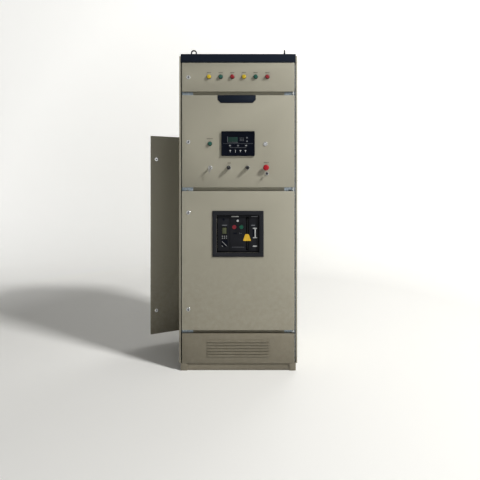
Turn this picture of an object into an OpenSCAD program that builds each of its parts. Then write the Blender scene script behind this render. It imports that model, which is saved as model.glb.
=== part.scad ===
// Floor-standing low-voltage switchgear cabinet with three front doors, a generator
// controller, pilot devices, an air circuit breaker and two rear leaves.
// Origin on the floor at the middle of the frame, X to the right, Y to the back, Z up.

/* [Frame] */
// Width over the corner posts
cab_w = 800; // [700:10:1000]
// Depth from the front door face to the rear door face
cab_d = 600; // [560:10:800]
// Width of a corner post, seen from the front
post_w = 80; // [60:1:100]
// Depth of a corner post along the side
post_d = 70; // [60:1:90]
// Wall of the posts and rails
post_t = 2.5; // [2:0.1:4]
// Lip folded inwards along the free edges of a post
post_lip = 15; // [10:1:20]
// Radius of the fixing holes in the posts
post_hole_r = 4.5; // [3:0.5:6]
// Pitch of the fixing holes in the posts
post_hole_pitch = 100; // [60:10:200]
// Height of a cross rail
rail_h = 50; // [36:1:60]
// Depth of a cross rail
rail_d = 30; // [20:1:40]
// Height of the ring frame under the roof
top_frame_h = 46; // [40:1:60]
// Width of the flanges of the base and top frames
ring_flange = 50; // [45:1:60]

/* [Plinth] */
// Height of the base frame
plinth_h = 52; // [45:1:100]
// Wall of the base frame
plinth_t = 4; // [3:0.5:6]
// How far the base beams lie behind the corner pieces
plinth_recess = 6; // [2:1:12]
// Width of a plinth corner piece
corner_w = 45; // [30:1:60]
// Distance of a floor bolt from the middle, left to right
floor_bolt_x = 300; // [200:5:320]
// Distance of a floor bolt hole from the outside of the beam
floor_bolt_inset = 26; // [20:1:32]
// Radius of a floor bolt hole
floor_bolt_r = 7; // [5:0.5:9]
// Thickness of the floor plate
floor_t = 2; // [1.5:0.5:4]
// Clearance between the floor plate and the frame around it
floor_gap = 2; // [1:0.5:4]

/* [Sheet metal] */
// Sheet of the doors and panels
sheet = 2; // [1.5:0.1:3]
// Depth of a door tray
door_depth = 20; // [18:1:24]
// Clearance between a door tray and the frame behind it
seal_gap = 8; // [6:1:12]
// Clearance between a door edge and the side of the frame
edge_gap = 8.5; // [7:0.5:12]
// How far a side panel stands out from the posts
side_t = 10; // [8:1:16]
// How far a side panel ends short of the door faces
side_setback = 2; // [0:1:6]
// Height of the roof tray
roof_h = 12; // [8:1:30]
// How far the roof stands out beyond the posts at each side
roof_over = 2; // [0:1:6]

/* [Front layout] */
// Height of the louvred bottom plate
bottom_plate_h = 204; // [160:1:300]
// Height of the breaker door
breaker_door_h = 965; // [800:1:1100]
// Height of the control door
control_door_h = 640; // [560:1:800]
// Height of the indicator door
indicator_door_h = 199; // [160:1:300]
// Gap between one door and the next
door_gap = 26; // [24:1:34]
// Gap between the top door and the header
header_gap = 5; // [5:1:10]
// Height of the header strip
header_h = 57; // [50:1:100]
// How far the header's top flange laps over the roof frame
header_lap = 12; // [6:1:20]

/* [Bottom plate louvres] */
// Number of louvres
louvre_n = 6; // [3:1:8]
// Pitch of the louvres
louvre_pitch = 20; // [18:1:24]
// Length of a louvre
louvre_w = 426; // [200:2:600]
// Height of a louvre hood
louvre_h = 11; // [8:1:14]
// Height of the air way under a hood
louvre_slot_h = 8; // [5:0.5:8]
// How far a hood stands out
louvre_out = 5; // [3:0.5:7]
// Height of the lowest louvre above the plate's lower edge
louvre_z = 47; // [30:1:60]

/* [Front hinges] */
// Distance of the pivot from the door's side edge
pivot_in = 8.5; // [8:0.5:12]
// Distance of the pivot behind the door face
pivot_back = 8; // [8:0.5:10]
// Radius of a pivot pin
pivot_r = 4; // [3:0.25:4.5]
// Running clearance of a pin in its bush
pin_play = 0.05; // [0.02:0.01:0.1]
// Gap under a turning piece that rests on its seat
seat_gap = 0.3; // [0.2:0.05:0.5]
// Radius of a bush
bush_r = 7; // [6:0.25:7.5]
// Length of a bush
bush_len = 16; // [10:1:30]
// Thickness of a hinge bracket
bracket_t = 6; // [4:1:8]
// How far a bracket reaches past the bush of its door
bracket_lap = 2; // [1:0.5:3]

/* [Locks] */
// Distance of a lock from the door's edge
lock_in = 45; // [40:1:60]
// Radius of the lock's front flange
lock_flange_r = 14; // [11:0.5:18]
// Radius of the lock barrel
lock_r = 10; // [8:0.5:11]
// Length of the cam from the lock's axis
cam_len = 29; // [24:1:32]
// Width of the cam
cam_w = 14; // [10:1:16]
// Thickness of the cam
cam_t = 3; // [2:0.5:4]
// Thickness of the lock's front flange
lock_flange_t = 2; // [1.5:0.25:3]
// Chamfer of that flange
lock_chamfer = 1; // [0.5:0.1:1.2]
// Radius of the recess that takes the lock's key
lock_recess_r = 8; // [6:0.25:8.5]
// Depth of that recess
lock_recess = 8; // [4:0.5:10]
// Width of the key's insert in the recess
insert_w = 5; // [3:0.5:6]
// Length of the insert
insert_len = 13; // [8:0.5:14]
// Gap between the insert's face and the front of the lock
insert_back = 1; // [0.5:0.25:3]
// Radius of the screw that holds the cam
cam_screw_r = 5; // [3:0.5:6]
// Thickness of that screw's head
cam_screw_t = 2.5; // [1.5:0.25:3]
// Clearance between a door's side flange and the web of a keeper
keeper_edge = 6; // [5:0.5:7]
// Width of a keeper's lip, in front of the cam
keeper_lip = 18; // [14:1:20]
// Width of a keeper's foot, on the post
keeper_foot = 10; // [8:0.5:10]
// Height of a keeper
keeper_h = 34; // [26:1:50]
// Distance of a keeper's lip behind the door face
keeper_front = 8; // [6:0.5:9]
// Height of the indicator door's lock above that door's lower edge
indicator_lock_z = 98; // [60:1:140]
// Height of the control door's lock above that door's lower edge
control_lock_z = 315; // [200:1:420]
// Height of the breaker door's upper lock above that door's lower edge
breaker_lock_top_z = 816; // [700:1:900]
// Height of the breaker door's lower lock above that door's lower edge
breaker_lock_low_z = 143; // [80:1:300]

/* [Indicator lamps] */
// Number of lamps on the indicator door
lamp_n = 6; // [2:1:8]
// Pitch of the lamps
lamp_pitch = 81; // [50:1:90]
// Height of the lamps above the indicator door's lower edge
lamp_z = 102; // [60:1:130]
// Radius of a lamp's bezel
lamp_r = 16; // [13:0.5:20]
// Thickness of a lamp's bezel
lamp_t = 3; // [2:0.5:5]
// Radius of a lamp's coloured lens
lens_r = 12.5; // [9:0.5:13]
// Radius of the rounding round the lens's face
lens_round = 4; // [2:0.5:5]
// Radius of the dome that the lens's face is part of
lens_dome = 45; // [30:1:90]
// How far a lamp stands out
lamp_out = 13; // [8:1:20]
// Radius of the barrels that pass through the doors
barrel_r = 11; // [10.5:0.5:12]
// Clearance of a fixed barrel in its hole
hole_play = 0.3; // [0.2:0.05:0.5]
// Thickness of the nut that clamps a barrel behind the sheet
nut_t = 5; // [3:0.5:8]

/* [Control door] */
// Width of the plaque that hangs from the top edge
plaque_w = 264; // [150:1:400]
// Height of the plaque
plaque_h = 54; // [30:1:90]
// Chamfer of the plaque's lower corners
plaque_cut = 21; // [5:1:25]
// Plaque's middle, left or right of the door's middle
plaque_x = -10; // [-80:1:80]
// Width of the controller
controller_w = 231; // [180:1:260]
// Height of the controller
controller_h = 171; // [140:1:200]
// How far the controller stands out
controller_out = 9; // [5:1:14]
// Depth of the controller's body behind the door face
controller_d = 45; // [30:1:60]
// How far the controller's front laps over its cut-out
controller_lap = 8; // [5:1:12]
// Radius of the corners of the controller's front
controller_r = 5; // [2:0.5:10]
// Width of the raised border round the controller's film
film_edge = 6; // [4:0.5:10]
// Depth of the film below that border
film_d = 0.8; // [0.4:0.1:1.5]
// Width of the display window
lcd_w = 68; // [50:1:90]
// Height of the display window
lcd_h = 35; // [25:1:50]
// Display's middle, left of the controller's middle
lcd_x = 36; // [30:1:50]
// Display's middle above the controller's middle
lcd_z = 28; // [22:1:32]
// Depth of the display window below the film
lcd_d = 0.6; // [0.3:0.1:1.2]
// Width of a key on the controller
pad_w = 14; // [8:0.5:20]
// Height of a key on the controller
pad_h = 9.5; // [6:0.5:14]
// Pitch of the row of keys
pad_pitch = 55.5; // [30:0.5:70]
// Row of keys below the controller's middle
pad_z = 14; // [10:1:30]
// Radius of the two round keys
dot_r = 6.4; // [4:0.2:8]
// Round keys' distance right of the controller's middle
dot_x = 62; // [55:1:80]
// Distance of each round key from the display's height
dot_gap = 12; // [8:0.5:16]
// How far the keys stand out of the film
pad_out = 1.6; // [0.8:0.2:3]
// Number of plugs in a row at the controller's back
plug_n = 5; // [2:1:6]
// Pitch of the plugs
plug_pitch = 36; // [32:1:40]
// Width of a plug
plug_w = 30; // [20:1:31]
// Height of a plug
plug_h = 11; // [8:0.5:16]
// How far the plugs stand out of the back
plug_out = 7; // [4:0.5:12]
// Distance of the rows of plugs from the controller's upper and lower side
plug_in = 11; // [6:1:20]
// Thickness of the plaque
plaque_t = 2; // [1:0.5:4]
// Controller's middle above the door's lower edge
controller_z = 303; // [260:1:360]
// Height of the running lamp above the door's lower edge
running_lamp_z = 303; // [200:1:420]
// Running lamp's distance left of the middle
running_lamp_x = 196; // [160:1:260]
// Height of the push button above the door's lower edge
push_z = 301; // [200:1:420]
// Push button's distance right of the middle
push_x = 189; // [160:1:260]
// Height of the lower row of switches above the door's lower edge
switch_z = 136; // [100:1:160]
// Mode key's distance left of the middle
mode_key_x = 194; // [160:1:260]
// Distance of each adjusting knob from the middle
knob_x = 64.5; // [50:0.5:80]
// Emergency stop's distance right of the middle
stop_x = 195; // [160:1:260]
// Reset key's distance right of the middle
reset_key_x = 200; // [160:1:260]
// Reset key's distance below the row of switches
reset_key_drop = 41; // [38:1:60]

/* [Switches] */
// Radius of a switch's front ring
ring_r = 15; // [13:0.5:16]
// Thickness of a switch's front ring
ring_t = 4; // [2:0.5:6]
// Radius of a switch shaft
shaft_r = 5; // [3:0.25:6]
// Length of a switch barrel behind the door face
barrel_len = 40; // [30:1:60]
// Side of a contact block
block_w = 28; // [24:1:34]
// Depth of a contact block
block_d = 30; // [15:1:45]
// Length of a shaft's free end behind its barrel's mouth
shaft_end = 3; // [2:0.5:6]
// Radius of an adjusting knob
knob_r = 14; // [10:0.5:16]
// Length of an adjusting knob
knob_len = 30; // [15:1:40]
// Thickness of the skirt at the foot of an adjusting knob
knob_skirt = 8; // [4:0.5:10]
// How much narrower than the skirt the grip is at its foot
grip_in = 1.5; // [0.5:0.25:3]
// How much narrower than its foot the grip is at its end
grip_draft = 1; // [0.5:0.25:2]
// Number of flutes in the grip
flute_n = 12; // [8:1:18]
// Radius of a flute
flute_r = 1.5; // [1:0.1:2]
// Height of the grip's plain foot below the flutes
flute_foot = 3; // [1:0.5:6]
// Width and depth of the pointer groove in the grip's end
pointer_w = 1.5; // [1:0.25:2.5]
// Radius of the mushroom head
mushroom_r = 20.5; // [15:0.5:25]
// Thickness of the mushroom head
mushroom_t = 15; // [10:1:20]
// Radius of the rounding at the head's lower edge
mushroom_low = 3; // [1:0.5:4]
// Radius of the rounding at the head's upper edge
mushroom_top = 6; // [3:0.5:8]
// Radius of the dome that the head's face is part of
mushroom_dome = 70; // [45:1:150]
// Clear travel under the mushroom head
mushroom_gap = 10; // [8:1:16]
// Radius of the push button's cap
cap_r = 9.5; // [7:0.25:10]
// Thickness of the push button's cap
cap_t = 6; // [4:0.5:8]
// Travel of the push button's cap
cap_travel = 4; // [3:0.5:6]
// Radius of a key switch's plug
plug_r = 6; // [5:0.25:7]
// Width of a key's bow
bow_w = 22; // [16:1:30]
// Length of a key outside its plug
key_len = 30; // [20:1:40]
// Thickness of a key
key_t = 3; // [2:0.25:4]
// Width of a key's shank
key_shank = 8; // [5:0.5:10]
// Radius of the hole in a key's bow
bow_hole_r = 3.5; // [2:0.25:5]
// How far a key's plug stands out of its ring
plug_lip = 1; // [0.5:0.25:2]
// Chamfer of the switch rings
ring_chamfer = 1; // [0.5:0.1:1.5]
// Radius of the reset key's ring
small_ring_r = 12; // [11.5:0.5:13]

/* [Breaker] */
// Width of the window in the breaker door
window_w = 296; // [260:1:320]
// Height of the window in the breaker door
window_h = 260; // [240:1:300]
// Window's middle above the breaker door's lower edge
window_z = 668; // [400:1:700]
// Window's middle, left or right of the door's middle
window_x = -1; // [-60:1:60]
// Width of the bezel's side members
bezel_w = 30; // [20:1:40]
// How far the bezel stands out
bezel_out = 6; // [3:0.5:10]
// Height of the bezel's upright outer edge
bezel_foot = 4; // [2:0.5:6]
// Width of the slope at the bezel's outer edge
bezel_slope = 2.6; // [1:0.2:6]
// Width of the step round the window
bezel_step_w = 8; // [4:0.5:12]
// Depth of that step
bezel_step = 1; // [0.5:0.25:2]
// Running clearance between the window and the breaker's face
window_gap = 5; // [5:0.5:8]
// How far the breaker's face lies behind the door face
fascia_back = 10; // [10:0.5:14]
// Thickness of the breaker's face plate
fascia_t = 4; // [3:0.5:6]
// Depth of the breaker's housing
breaker_d = 230; // [200:5:260]
// Width of the trip unit
trip_w = 78; // [60:1:90]
// Gap between the trip unit and the face plate
trip_gap = 2; // [1:0.5:4]
// How far the trip unit stands out of the face plate
trip_out = 1; // [0.5:0.5:3]
// How much shorter the trip unit is at its top and bottom
trip_end = 4; // [2:0.5:8]
// Middle of the display, right of the trip unit's middle
display_x = 8; // [-8:1:10]
// Middle of the display above the window's middle
display_z = 20.5; // [10:0.5:40]
// Width of the display's raised frame
display_w = 44; // [36:1:50]
// Height of the display's raised frame
display_h = 59; // [40:1:70]
// Width of the frame's members
display_wall = 3.5; // [2:0.5:6]
// How far the frame stands out
display_out = 1.2; // [0.6:0.1:2]
// Depth of the display below the unit's face
display_d = 1; // [0.5:0.1:2]
// Pitch of the two rows and three columns of small keys
trip_key_pitch = 14; // [11:0.5:16]
// Width of a small key
trip_key_w = 8; // [5:0.5:10]
// Height of a small key
trip_key_h = 4.5; // [3:0.5:8]
// How far the small keys stand out
trip_key_out = 1; // [0.5:0.1:2]
// Middle of the small keys below the window's middle
trip_key_z = 24; // [20:1:30]
// Height of the sunk chart field
chart_h = 48; // [30:1:60]
// Middle of the chart field below the window's middle
chart_z = 68; // [60:1:80]
// Depth of the chart field
chart_d = 0.8; // [0.4:0.1:1.5]
// Margin round the raised fields of the face plate
field_edge = 4; // [3:0.5:6]
// How far the fields stand out
field_out = 1; // [0.5:0.1:1.5]
// Radius of the fields' corners
field_r = 2; // [1:0.25:4]
// Height of the flat strip above the fields
name_strip = 13; // [8:1:20]
// Height of the upper middle field
name_h = 41; // [30:1:50]
// Height of the middle field under the buttons
cover_h = 52; // [30:1:60]
// Upper edge of that field below the window's middle
cover_drop = 32; // [20:1:36]
// Height of the field at the foot
foot_h = 19; // [12:1:26]
// Width of the charge flag's window
flag_w = 13; // [8:0.5:16]
// Height of the charge flag's window
flag_h = 58; // [40:1:70]
// Flag's middle, right of the window's middle
flag_x = 106.5; // [100:0.5:112]
// Flag's middle above the window's middle
flag_z = 4; // [-10:1:20]
// Width of the state window under the buttons
state_w = 25; // [15:1:32]
// Height of the state window
state_h = 11; // [8:0.5:14]
// State window's middle, left of the window's middle
state_x = 22.5; // [18:0.5:28]
// State window's middle above the window's middle
state_z = 2; // [-6:1:8]
// Depth of the state window and the flag's window
state_d = 1.5; // [0.5:0.1:2.5]
// Radius of the push buttons
button_r = 14; // [10:0.5:15]
// Length of the push button heads
button_t = 6; // [5:0.5:8]
// Clearance round a push button's head
button_gap = 0.5; // [0.3:0.1:1]
// Radius of a push button's stem
stem_r = 4; // [3:0.25:5]
// Length of a push button's stem
stem_len = 20; // [12:1:30]
// Depth of a stem's bore beyond the end of the stem
stem_travel = 7; // [5:0.5:10]
// How far the push buttons stand out of the face
button_out = 3; // [2:0.5:4]
// Distance of each push button from the middle line between them
button_x = 25; // [18:0.5:30]
// Middle line between the push buttons, from the window's middle
button_mid = -3; // [-10:1:10]
// Height of the push buttons above the window's middle
button_z = 46; // [20:1:70]
// Width of the slot that the charging handle lies in
slot_w = 20; // [18:1:26]
// Slot's middle, right of the window's middle
slot_x = 63; // [58:1:90]
// Width of the charging handle
handle_w = 10; // [6:0.5:12]
// Thickness of the charging handle
handle_d = 14; // [10:1:18]
// Length of the charging handle
handle_len = 212; // [150:1:220]
// Length of the charging handle's grip
grip_len = 60; // [40:1:80]
// How much thinner than the grip the handle's shank is
shank_cut = 4; // [2:0.5:6]
// Clearance above, below and behind the handle in its slot
handle_gap = 8; // [6:0.5:12]
// Height of the handle's pin above the lower edge of the breaker's face
handle_z = 20; // [16:0.5:30]
// Radius of the charging handle's pin
handle_pin_r = 3; // [2:0.25:4]
// Height of a carrying beam's section
beam_h = 40; // [30:1:50]
// Number of poles
pole_n = 3; // [3:1:4]
// Width of an arc chute's cover, part of the pole's pitch left out
chute_gap = 14; // [8:1:20]
// Length of an arc chute's cover
chute_len = 100; // [60:1:140]
// Distance of the covers from the back of the housing
chute_back = 20; // [10:1:40]
// Height of an arc chute's cover
chute_t = 4; // [2:0.5:4.5]
// Number of vents in a cover
vent_n = 6; // [3:1:7]
// Pitch of the vents
vent_pitch = 14; // [12:0.5:18]
// Width of a vent
vent_w = 6; // [3:0.5:8]
// Wall at the ends of the vents
vent_wall = 6; // [4:0.5:12]
// Thickness of the terminal block behind the housing
back_t = 10; // [6:1:16]
// Thickness of a barrier between two poles
barrier_t = 4; // [3:0.5:6]
// How far the barriers stand out of the terminal block
barrier_out = 32; // [20:1:50]
// Distance of the barriers and the block from the housing's top and bottom
barrier_end = 10; // [5:1:20]
// Width of a terminal bar
terminal_w = 60; // [40:1:76]
// Thickness of a terminal bar
terminal_t = 10; // [6:0.5:15]
// Length of a terminal bar
terminal_len = 50; // [35:1:60]
// Distance of the terminals from the window's middle height
terminal_z = 70; // [50:1:90]
// Radius of a terminal's bolt holes
terminal_hole_r = 5.5; // [4:0.5:7]
// Distance of a bolt hole from the terminal's side and end
terminal_hole_in = 15; // [11:0.5:18]
// How far the breaker's feet reach out at its sides
foot_w = 20; // [14:1:30]
// Thickness of the feet
foot_t = 5; // [3:0.5:5]
// Radius of the bolt hole in a foot
foot_hole_r = 4.5; // [3:0.5:5.5]

/* [Stiffeners] */
// Width of a stiffener over its feet
hat_w = 32; // [24:1:40]
// Width of a stiffener's ridge
hat_top = 16; // [12:1:22]
// Depth of a stiffener
hat_d = 14; // [8:1:15]
// Sheet of a stiffener
hat_t = 1.5; // [1:0.1:2]
// Distance of a stiffener's ends from the ends of its door
hat_end = 30; // [24:1:60]
// Distance of the control door's stiffeners from its middle
control_hat_x = 150; // [140:1:155]
// Distance of the breaker door's stiffeners from its middle
breaker_hat_x = 225; // [200:1:270]

/* [Rear] */
// Height of the rear leaves' lower edge above the floor
rear_door_z = 80; // [70:1:120]
// Height of the rear leaves
rear_door_h = 1611; // [1400:1:1700]
// Gap between the rear leaves and the plate above them
rear_gap = 9; // [6:1:20]
// Gap between the two rear leaves
leaf_gap = 6; // [6:0.5:10]
// Clearance of a rear leaf from the side panel
leaf_side_gap = 6; // [6:0.5:10]
// Angle at which the left rear leaf stands open
leaf_open = 205; // [90:1:205]
// Distance of a rear lock from the leaf's upper or lower edge
rear_lock_z = 190; // [120:1:300]
// Radius of a hinge barrel
barrel_hinge_r = 6; // [5:0.25:6]
// Radius of a rear hinge pin
rear_pin_r = 3; // [2:0.25:4]
// Length of each half of a hinge barrel
knuckle_len = 30; // [20:1:40]
// Distance of the end hinges from the ends of a leaf
rear_hinge_end = 120; // [80:1:200]
// Width of the strap that holds a knuckle on the leaf
strap_w = 34; // [24:1:40]
// Thickness of that strap
strap_t = 3; // [2:0.25:4]
// Distance of a rear hinge axis from the outside of the posts
rear_axis_out = 4; // [3:0.5:5]
// Width of the block that carries the fixed half of a rear hinge
hinge_block_w = 10; // [8:0.5:12]
// Height of the sill under the rear leaves above their lower edge
sill_lap = 12; // [8:1:20]

/* [Lifting eyes] */
// Distance of a lifting eye from the middle, left to right
eye_x = 321; // [250:1:360]
// Distance of a lifting eye behind the door face
eye_back = 55; // [45:1:60]
// Inside radius of an eye
eye_r = 12; // [10:0.5:15]
// Section of the ring across its face
eye_wall = 10; // [7:0.5:12]
// Thickness of the ring
eye_t = 11; // [8:0.5:14]
// Radius of the ring's rounded outside
eye_round = 6.5; // [6:0.5:8]
// Radius of the collar under the ring
eye_collar_r = 14; // [12:0.5:18]
// Height of the collar
eye_collar_h = 6; // [4:0.5:10]
// Radius of the threaded stem
eye_stem_r = 6; // [5:0.5:8]
// Length of the stem below the roof
eye_stem_len = 8; // [6:0.5:12]
// How deep the ring is sunk into its collar
eye_sink = 2; // [1:0.5:3]

/* [Hidden] */
$fn = 48;
eps = 0.5;

// Planes of the frame and of the faces
front_y = -cab_d / 2;
rear_y = cab_d / 2;
frame_y = rear_y - door_depth - seal_gap;
door_w = cab_w - 2 * edge_gap;
fixed_depth = door_depth + seal_gap;

// Heights of the front pieces, from the floor up
breaker_door_z = plinth_h + bottom_plate_h + door_gap;
control_door_z = breaker_door_z + breaker_door_h + door_gap;
indicator_door_z = control_door_z + control_door_h + door_gap;
indicator_top = indicator_door_z + indicator_door_h;
header_z = indicator_top + header_gap;
cab_h = header_z + header_h;
roof_z = cab_h - sheet - roof_h;
post_top = roof_z - top_frame_h;
gap_zs = [breaker_door_z - door_gap / 2, control_door_z - door_gap / 2, indicator_door_z - door_gap / 2];

// Hinge axes
pivot_x = door_w / 2 - pivot_in;
pivot_y = front_y + pivot_back;
leaf_edge_x = cab_w / 2 - leaf_side_gap;
leaf_w = leaf_edge_x - leaf_gap / 2;
rear_axis_x = cab_w / 2 + rear_axis_out;
rear_axis_y = rear_y + barrel_hinge_r;
rear_hinge_zs = [
    rear_door_z + rear_hinge_end,
    rear_door_z + rear_door_h / 2,
    rear_door_z + rear_door_h - rear_hinge_end
];
rear_plate_z = rear_door_z + rear_door_h + rear_gap;
rear_rail_z = rear_plate_z - rear_gap / 2;
sill_top = rear_door_z + sill_lap;

// Locks, with the cam inside the door tray and its keeper on the post behind it
lock_x = -door_w / 2 + lock_in;
rear_lock_x = leaf_gap / 2 + lock_in;
cam_back = door_depth;
front_lock_zs = [
    indicator_door_z + indicator_lock_z,
    control_door_z + control_lock_z,
    breaker_door_z + breaker_lock_top_z,
    breaker_door_z + breaker_lock_low_z
];
rear_lock_zs = [rear_door_z + rear_door_h - rear_lock_z, rear_door_z + rear_lock_z];

// Breaker
window_mid = breaker_door_z + window_z;
face_w = window_w - 2 * window_gap;
face_h = window_h - 2 * window_gap;
fascia_y = front_y + fascia_back;
housing_y = fascia_y + fascia_t;
face_low = window_mid - face_h / 2;
beam_top = face_low;
handle_y = housing_y + handle_d;
handle_low = face_low + handle_z;
slot_low = handle_low - handle_d / 2 - handle_gap / 2;
slot_top = handle_low + handle_len + handle_gap;
slot_depth = 1.5 * handle_d + handle_gap;
slot_left = window_x + slot_x - slot_w / 2;
plate_x = window_x - face_w / 2 + trip_w + trip_gap;
plate_end = window_x + face_w / 2;
breaker_back = housing_y + breaker_d;
beam_ys = [post_d - frame_y, breaker_back - beam_h];
pole_xs = [for (i = [0 : pole_n - 1]) window_x + (i - (pole_n - 1) / 2) * face_w / pole_n];

// Places of the switches: left or right of the middle, above the control door's lower edge
switch_places = [
    [-knob_x, switch_z], [knob_x, switch_z], [stop_x, switch_z],
    [push_x, push_z], [-mode_key_x, switch_z], [reset_key_x, switch_z - reset_key_drop]
];
cap_foot = ring_t + plug_lip - cap_t;
lamp_xs = [for (i = [0 : lamp_n - 1]) (i - (lamp_n - 1) / 2) * lamp_pitch];

// Lifting eyes
eye_y = rear_y - eye_back;
eye_z = roof_z + roof_h + eye_collar_h + eye_r + eye_wall - eye_sink;

grey = "#A9A593";
navy = "#141B28";
zinc = "#8E979E";
chrome = "#C9CCCE";
charcoal = "#26282C";
copper = "#B8774E";

// Places a device on the front face at height z, its own Z axis pointing out of the door
module on_front(x, z) {
    translate([x, front_y, z]) rotate([90, 0, 0]) children();
}

// The same on the rear face
module on_rear(x, z) {
    translate([x, rear_y, z]) rotate([0, 0, 180]) rotate([90, 0, 0]) children();
}

// Mirrors its children to the left when side is -1
module to_side(side) {
    if (side < 0) mirror([1, 0, 0]) children();
    else children();
}

// Turns the front of the cabinet to its back when end is 1
module to_end(end) {
    if (end > 0) mirror([0, 1, 0]) children();
    else children();
}

// A folded tray: a sheet with four flanges folded back along +Y
module tray(w, depth, h) {
    difference() {
        cube([w, depth, h]);
        translate([sheet, sheet, sheet]) cube([w - 2 * sheet, depth, h - 2 * sheet]);
    }
}

// Rectangle with rounded corners, about the middle
module round_rect(w, h, r) {
    union() {
        square([w - 2 * r, h], center = true);
        square([w, h - 2 * r], center = true);
        for (x = [-1, 1], y = [-1, 1]) translate([x * (w / 2 - r), y * (h / 2 - r)]) circle(r = r);
    }
}

// Hat-section stiffener, upright, its feet on the sheet behind y = 0
module hat(h) {
    linear_extrude(h) difference() {
        union() {
            translate([-hat_w / 2, 0]) square([hat_w, hat_t]);
            translate([-hat_top / 2, 0]) square([hat_top, hat_d]);
        }
        translate([hat_t - hat_top / 2, -eps]) square([hat_top - 2 * hat_t, hat_d - hat_t + eps]);
    }
}

// A closed ring of C-channel, open towards the inside
module ring_channel(w, d, h, t) {
    difference() {
        translate([-w / 2, -d / 2, 0]) cube([w, d, h]);
        translate([t - w / 2, t - d / 2, t]) cube([w - 2 * t, d - 2 * t, h - 2 * t]);
        translate([ring_flange - w / 2, ring_flange - d / 2, -eps])
            cube([w - 2 * ring_flange, d - 2 * ring_flange, h + 2 * eps]);
    }
}

module base_frame() {
    base_d = cab_d - 2 * (side_setback + plinth_recess);
    color(grey) difference() {
        union() {
            ring_channel(cab_w, base_d, plinth_h, plinth_t);
            for (side = [-1, 1], end = [0, 1]) to_side(side) to_end(end)
                translate([cab_w / 2 - corner_w, front_y + side_setback, 0])
                    cube([corner_w, corner_w, plinth_h]);
        }
        for (side = [-1, 1], end = [-1, 1])
            translate([side * floor_bolt_x, end * (base_d / 2 - floor_bolt_inset), -eps])
                cylinder(r = floor_bolt_r, h = plinth_t + 2 * eps);
    }
}

module floor_plate() {
    wide_x = cab_w / 2 - floor_gap;
    wide_y = frame_y - post_d - floor_gap;
    narrow_x = cab_w / 2 - post_w - floor_gap;
    narrow_y = frame_y - floor_gap;
    color(zinc) translate([0, 0, plinth_h]) union() {
        translate([-wide_x, -wide_y, 0]) cube([2 * wide_x, 2 * wide_y, floor_t]);
        translate([-narrow_x, -narrow_y, 0]) cube([2 * narrow_x, 2 * narrow_y - rail_d, floor_t]);
    }
}

// Section of a corner post, front right: outer side at x = cab_w/2, front at y = -frame_y
module post_section() {
    difference() {
        translate([cab_w / 2 - post_w, -frame_y]) square([post_w, post_d]);
        translate([cab_w / 2 - post_w + post_t, post_t - frame_y])
            square([post_w - 2 * post_t, post_d - 2 * post_t]);
        translate([cab_w / 2 - post_w - eps, post_lip - frame_y])
            square([post_w - post_lip + eps, post_d]);
    }
}

module post(side, end) {
    hole_x = cab_w / 2 - post_w / 2;
    color(zinc) to_side(side) to_end(end) difference() {
        translate([0, 0, plinth_h]) linear_extrude(post_top - plinth_h) post_section();
        for (z = [plinth_h + post_hole_pitch : post_hole_pitch : post_top - post_hole_pitch / 2])
            translate([hole_x, -frame_y - eps, z]) rotate([-90, 0, 0])
                cylinder(r = post_hole_r, h = post_t + 2 * eps);
    }
}

// Keeper that a lock's cam turns behind: a foot on the post, a web, and a lip in front of the cam
module keeper(edge_x, z) {
    web_d = fixed_depth - keeper_front;
    translate([edge_x + keeper_edge, front_y + keeper_front, z - keeper_h / 2]) union() {
        cube([sheet, web_d, keeper_h]);
        cube([keeper_lip, sheet, keeper_h]);
        translate([sheet - keeper_foot, web_d - sheet, 0]) cube([keeper_foot, sheet, keeper_h]);
    }
}

module lock_keepers() {
    color(zinc) {
        for (z = front_lock_zs) keeper(sheet - door_w / 2, z);
        for (side = [-1, 1], z = rear_lock_zs) to_side(side) to_end(1) keeper(leaf_gap / 2 + sheet, z);
    }
}

module front_left_post() {
    post(-1, 0);
}

module front_right_post() {
    post(1, 0);
}

module rear_left_post() {
    post(-1, 1);
}

module rear_right_post() {
    post(1, 1);
}

// Middle post at the back, between the two leaves
module rear_centre_post() {
    color(zinc) translate([0, 0, sill_top]) difference() {
        translate([-post_w / 2, frame_y - rail_d, 0])
            cube([post_w, rail_d, rear_rail_z - rail_h / 2 - sill_top]);
        translate([post_t - post_w / 2, frame_y - rail_d - eps, -eps])
            cube([post_w - 2 * post_t, rail_d - post_t + eps, cab_h]);
    }
}

module top_frame() {
    color(zinc) difference() {
        translate([0, 0, post_top]) ring_channel(cab_w, 2 * frame_y, top_frame_h, post_t);
        for (side = [-1, 1], end = [-1, 1])
            translate([side * eye_x, end * eye_y, roof_z - post_t - eps])
                cylinder(r = eye_stem_r + hole_play, h = post_t + 2 * eps);
    }
}

// Cross rail between the posts, a C-channel open to the back
module cross_rail(low, high) {
    span = cab_w - 2 * post_w;
    translate([-span / 2, -frame_y, low]) difference() {
        cube([span, rail_d, high - low]);
        translate([-eps, post_t, post_t]) cube([span + 2 * eps, rail_d, high - low - 2 * post_t]);
    }
}

module front_cross_rails() {
    color(grey) for (z = gap_zs) cross_rail(z - rail_h / 2, z + rail_h / 2);
}

module rear_cross_rails() {
    color(zinc) to_end(1) union() {
        cross_rail(plinth_h, sill_top);
        cross_rail(rear_rail_z - rail_h / 2, rear_rail_z + rail_h / 2);
    }
}

module side_panel(side) {
    panel_d = cab_d - 2 * side_setback;
    color(grey) to_side(side)
        translate([cab_w / 2 + side_t, -panel_d / 2, plinth_h]) rotate([0, 0, 90])
            tray(panel_d, side_t, roof_z - plinth_h);
}

module left_side_panel() {
    side_panel(-1);
}

module right_side_panel() {
    side_panel(1);
}

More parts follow.
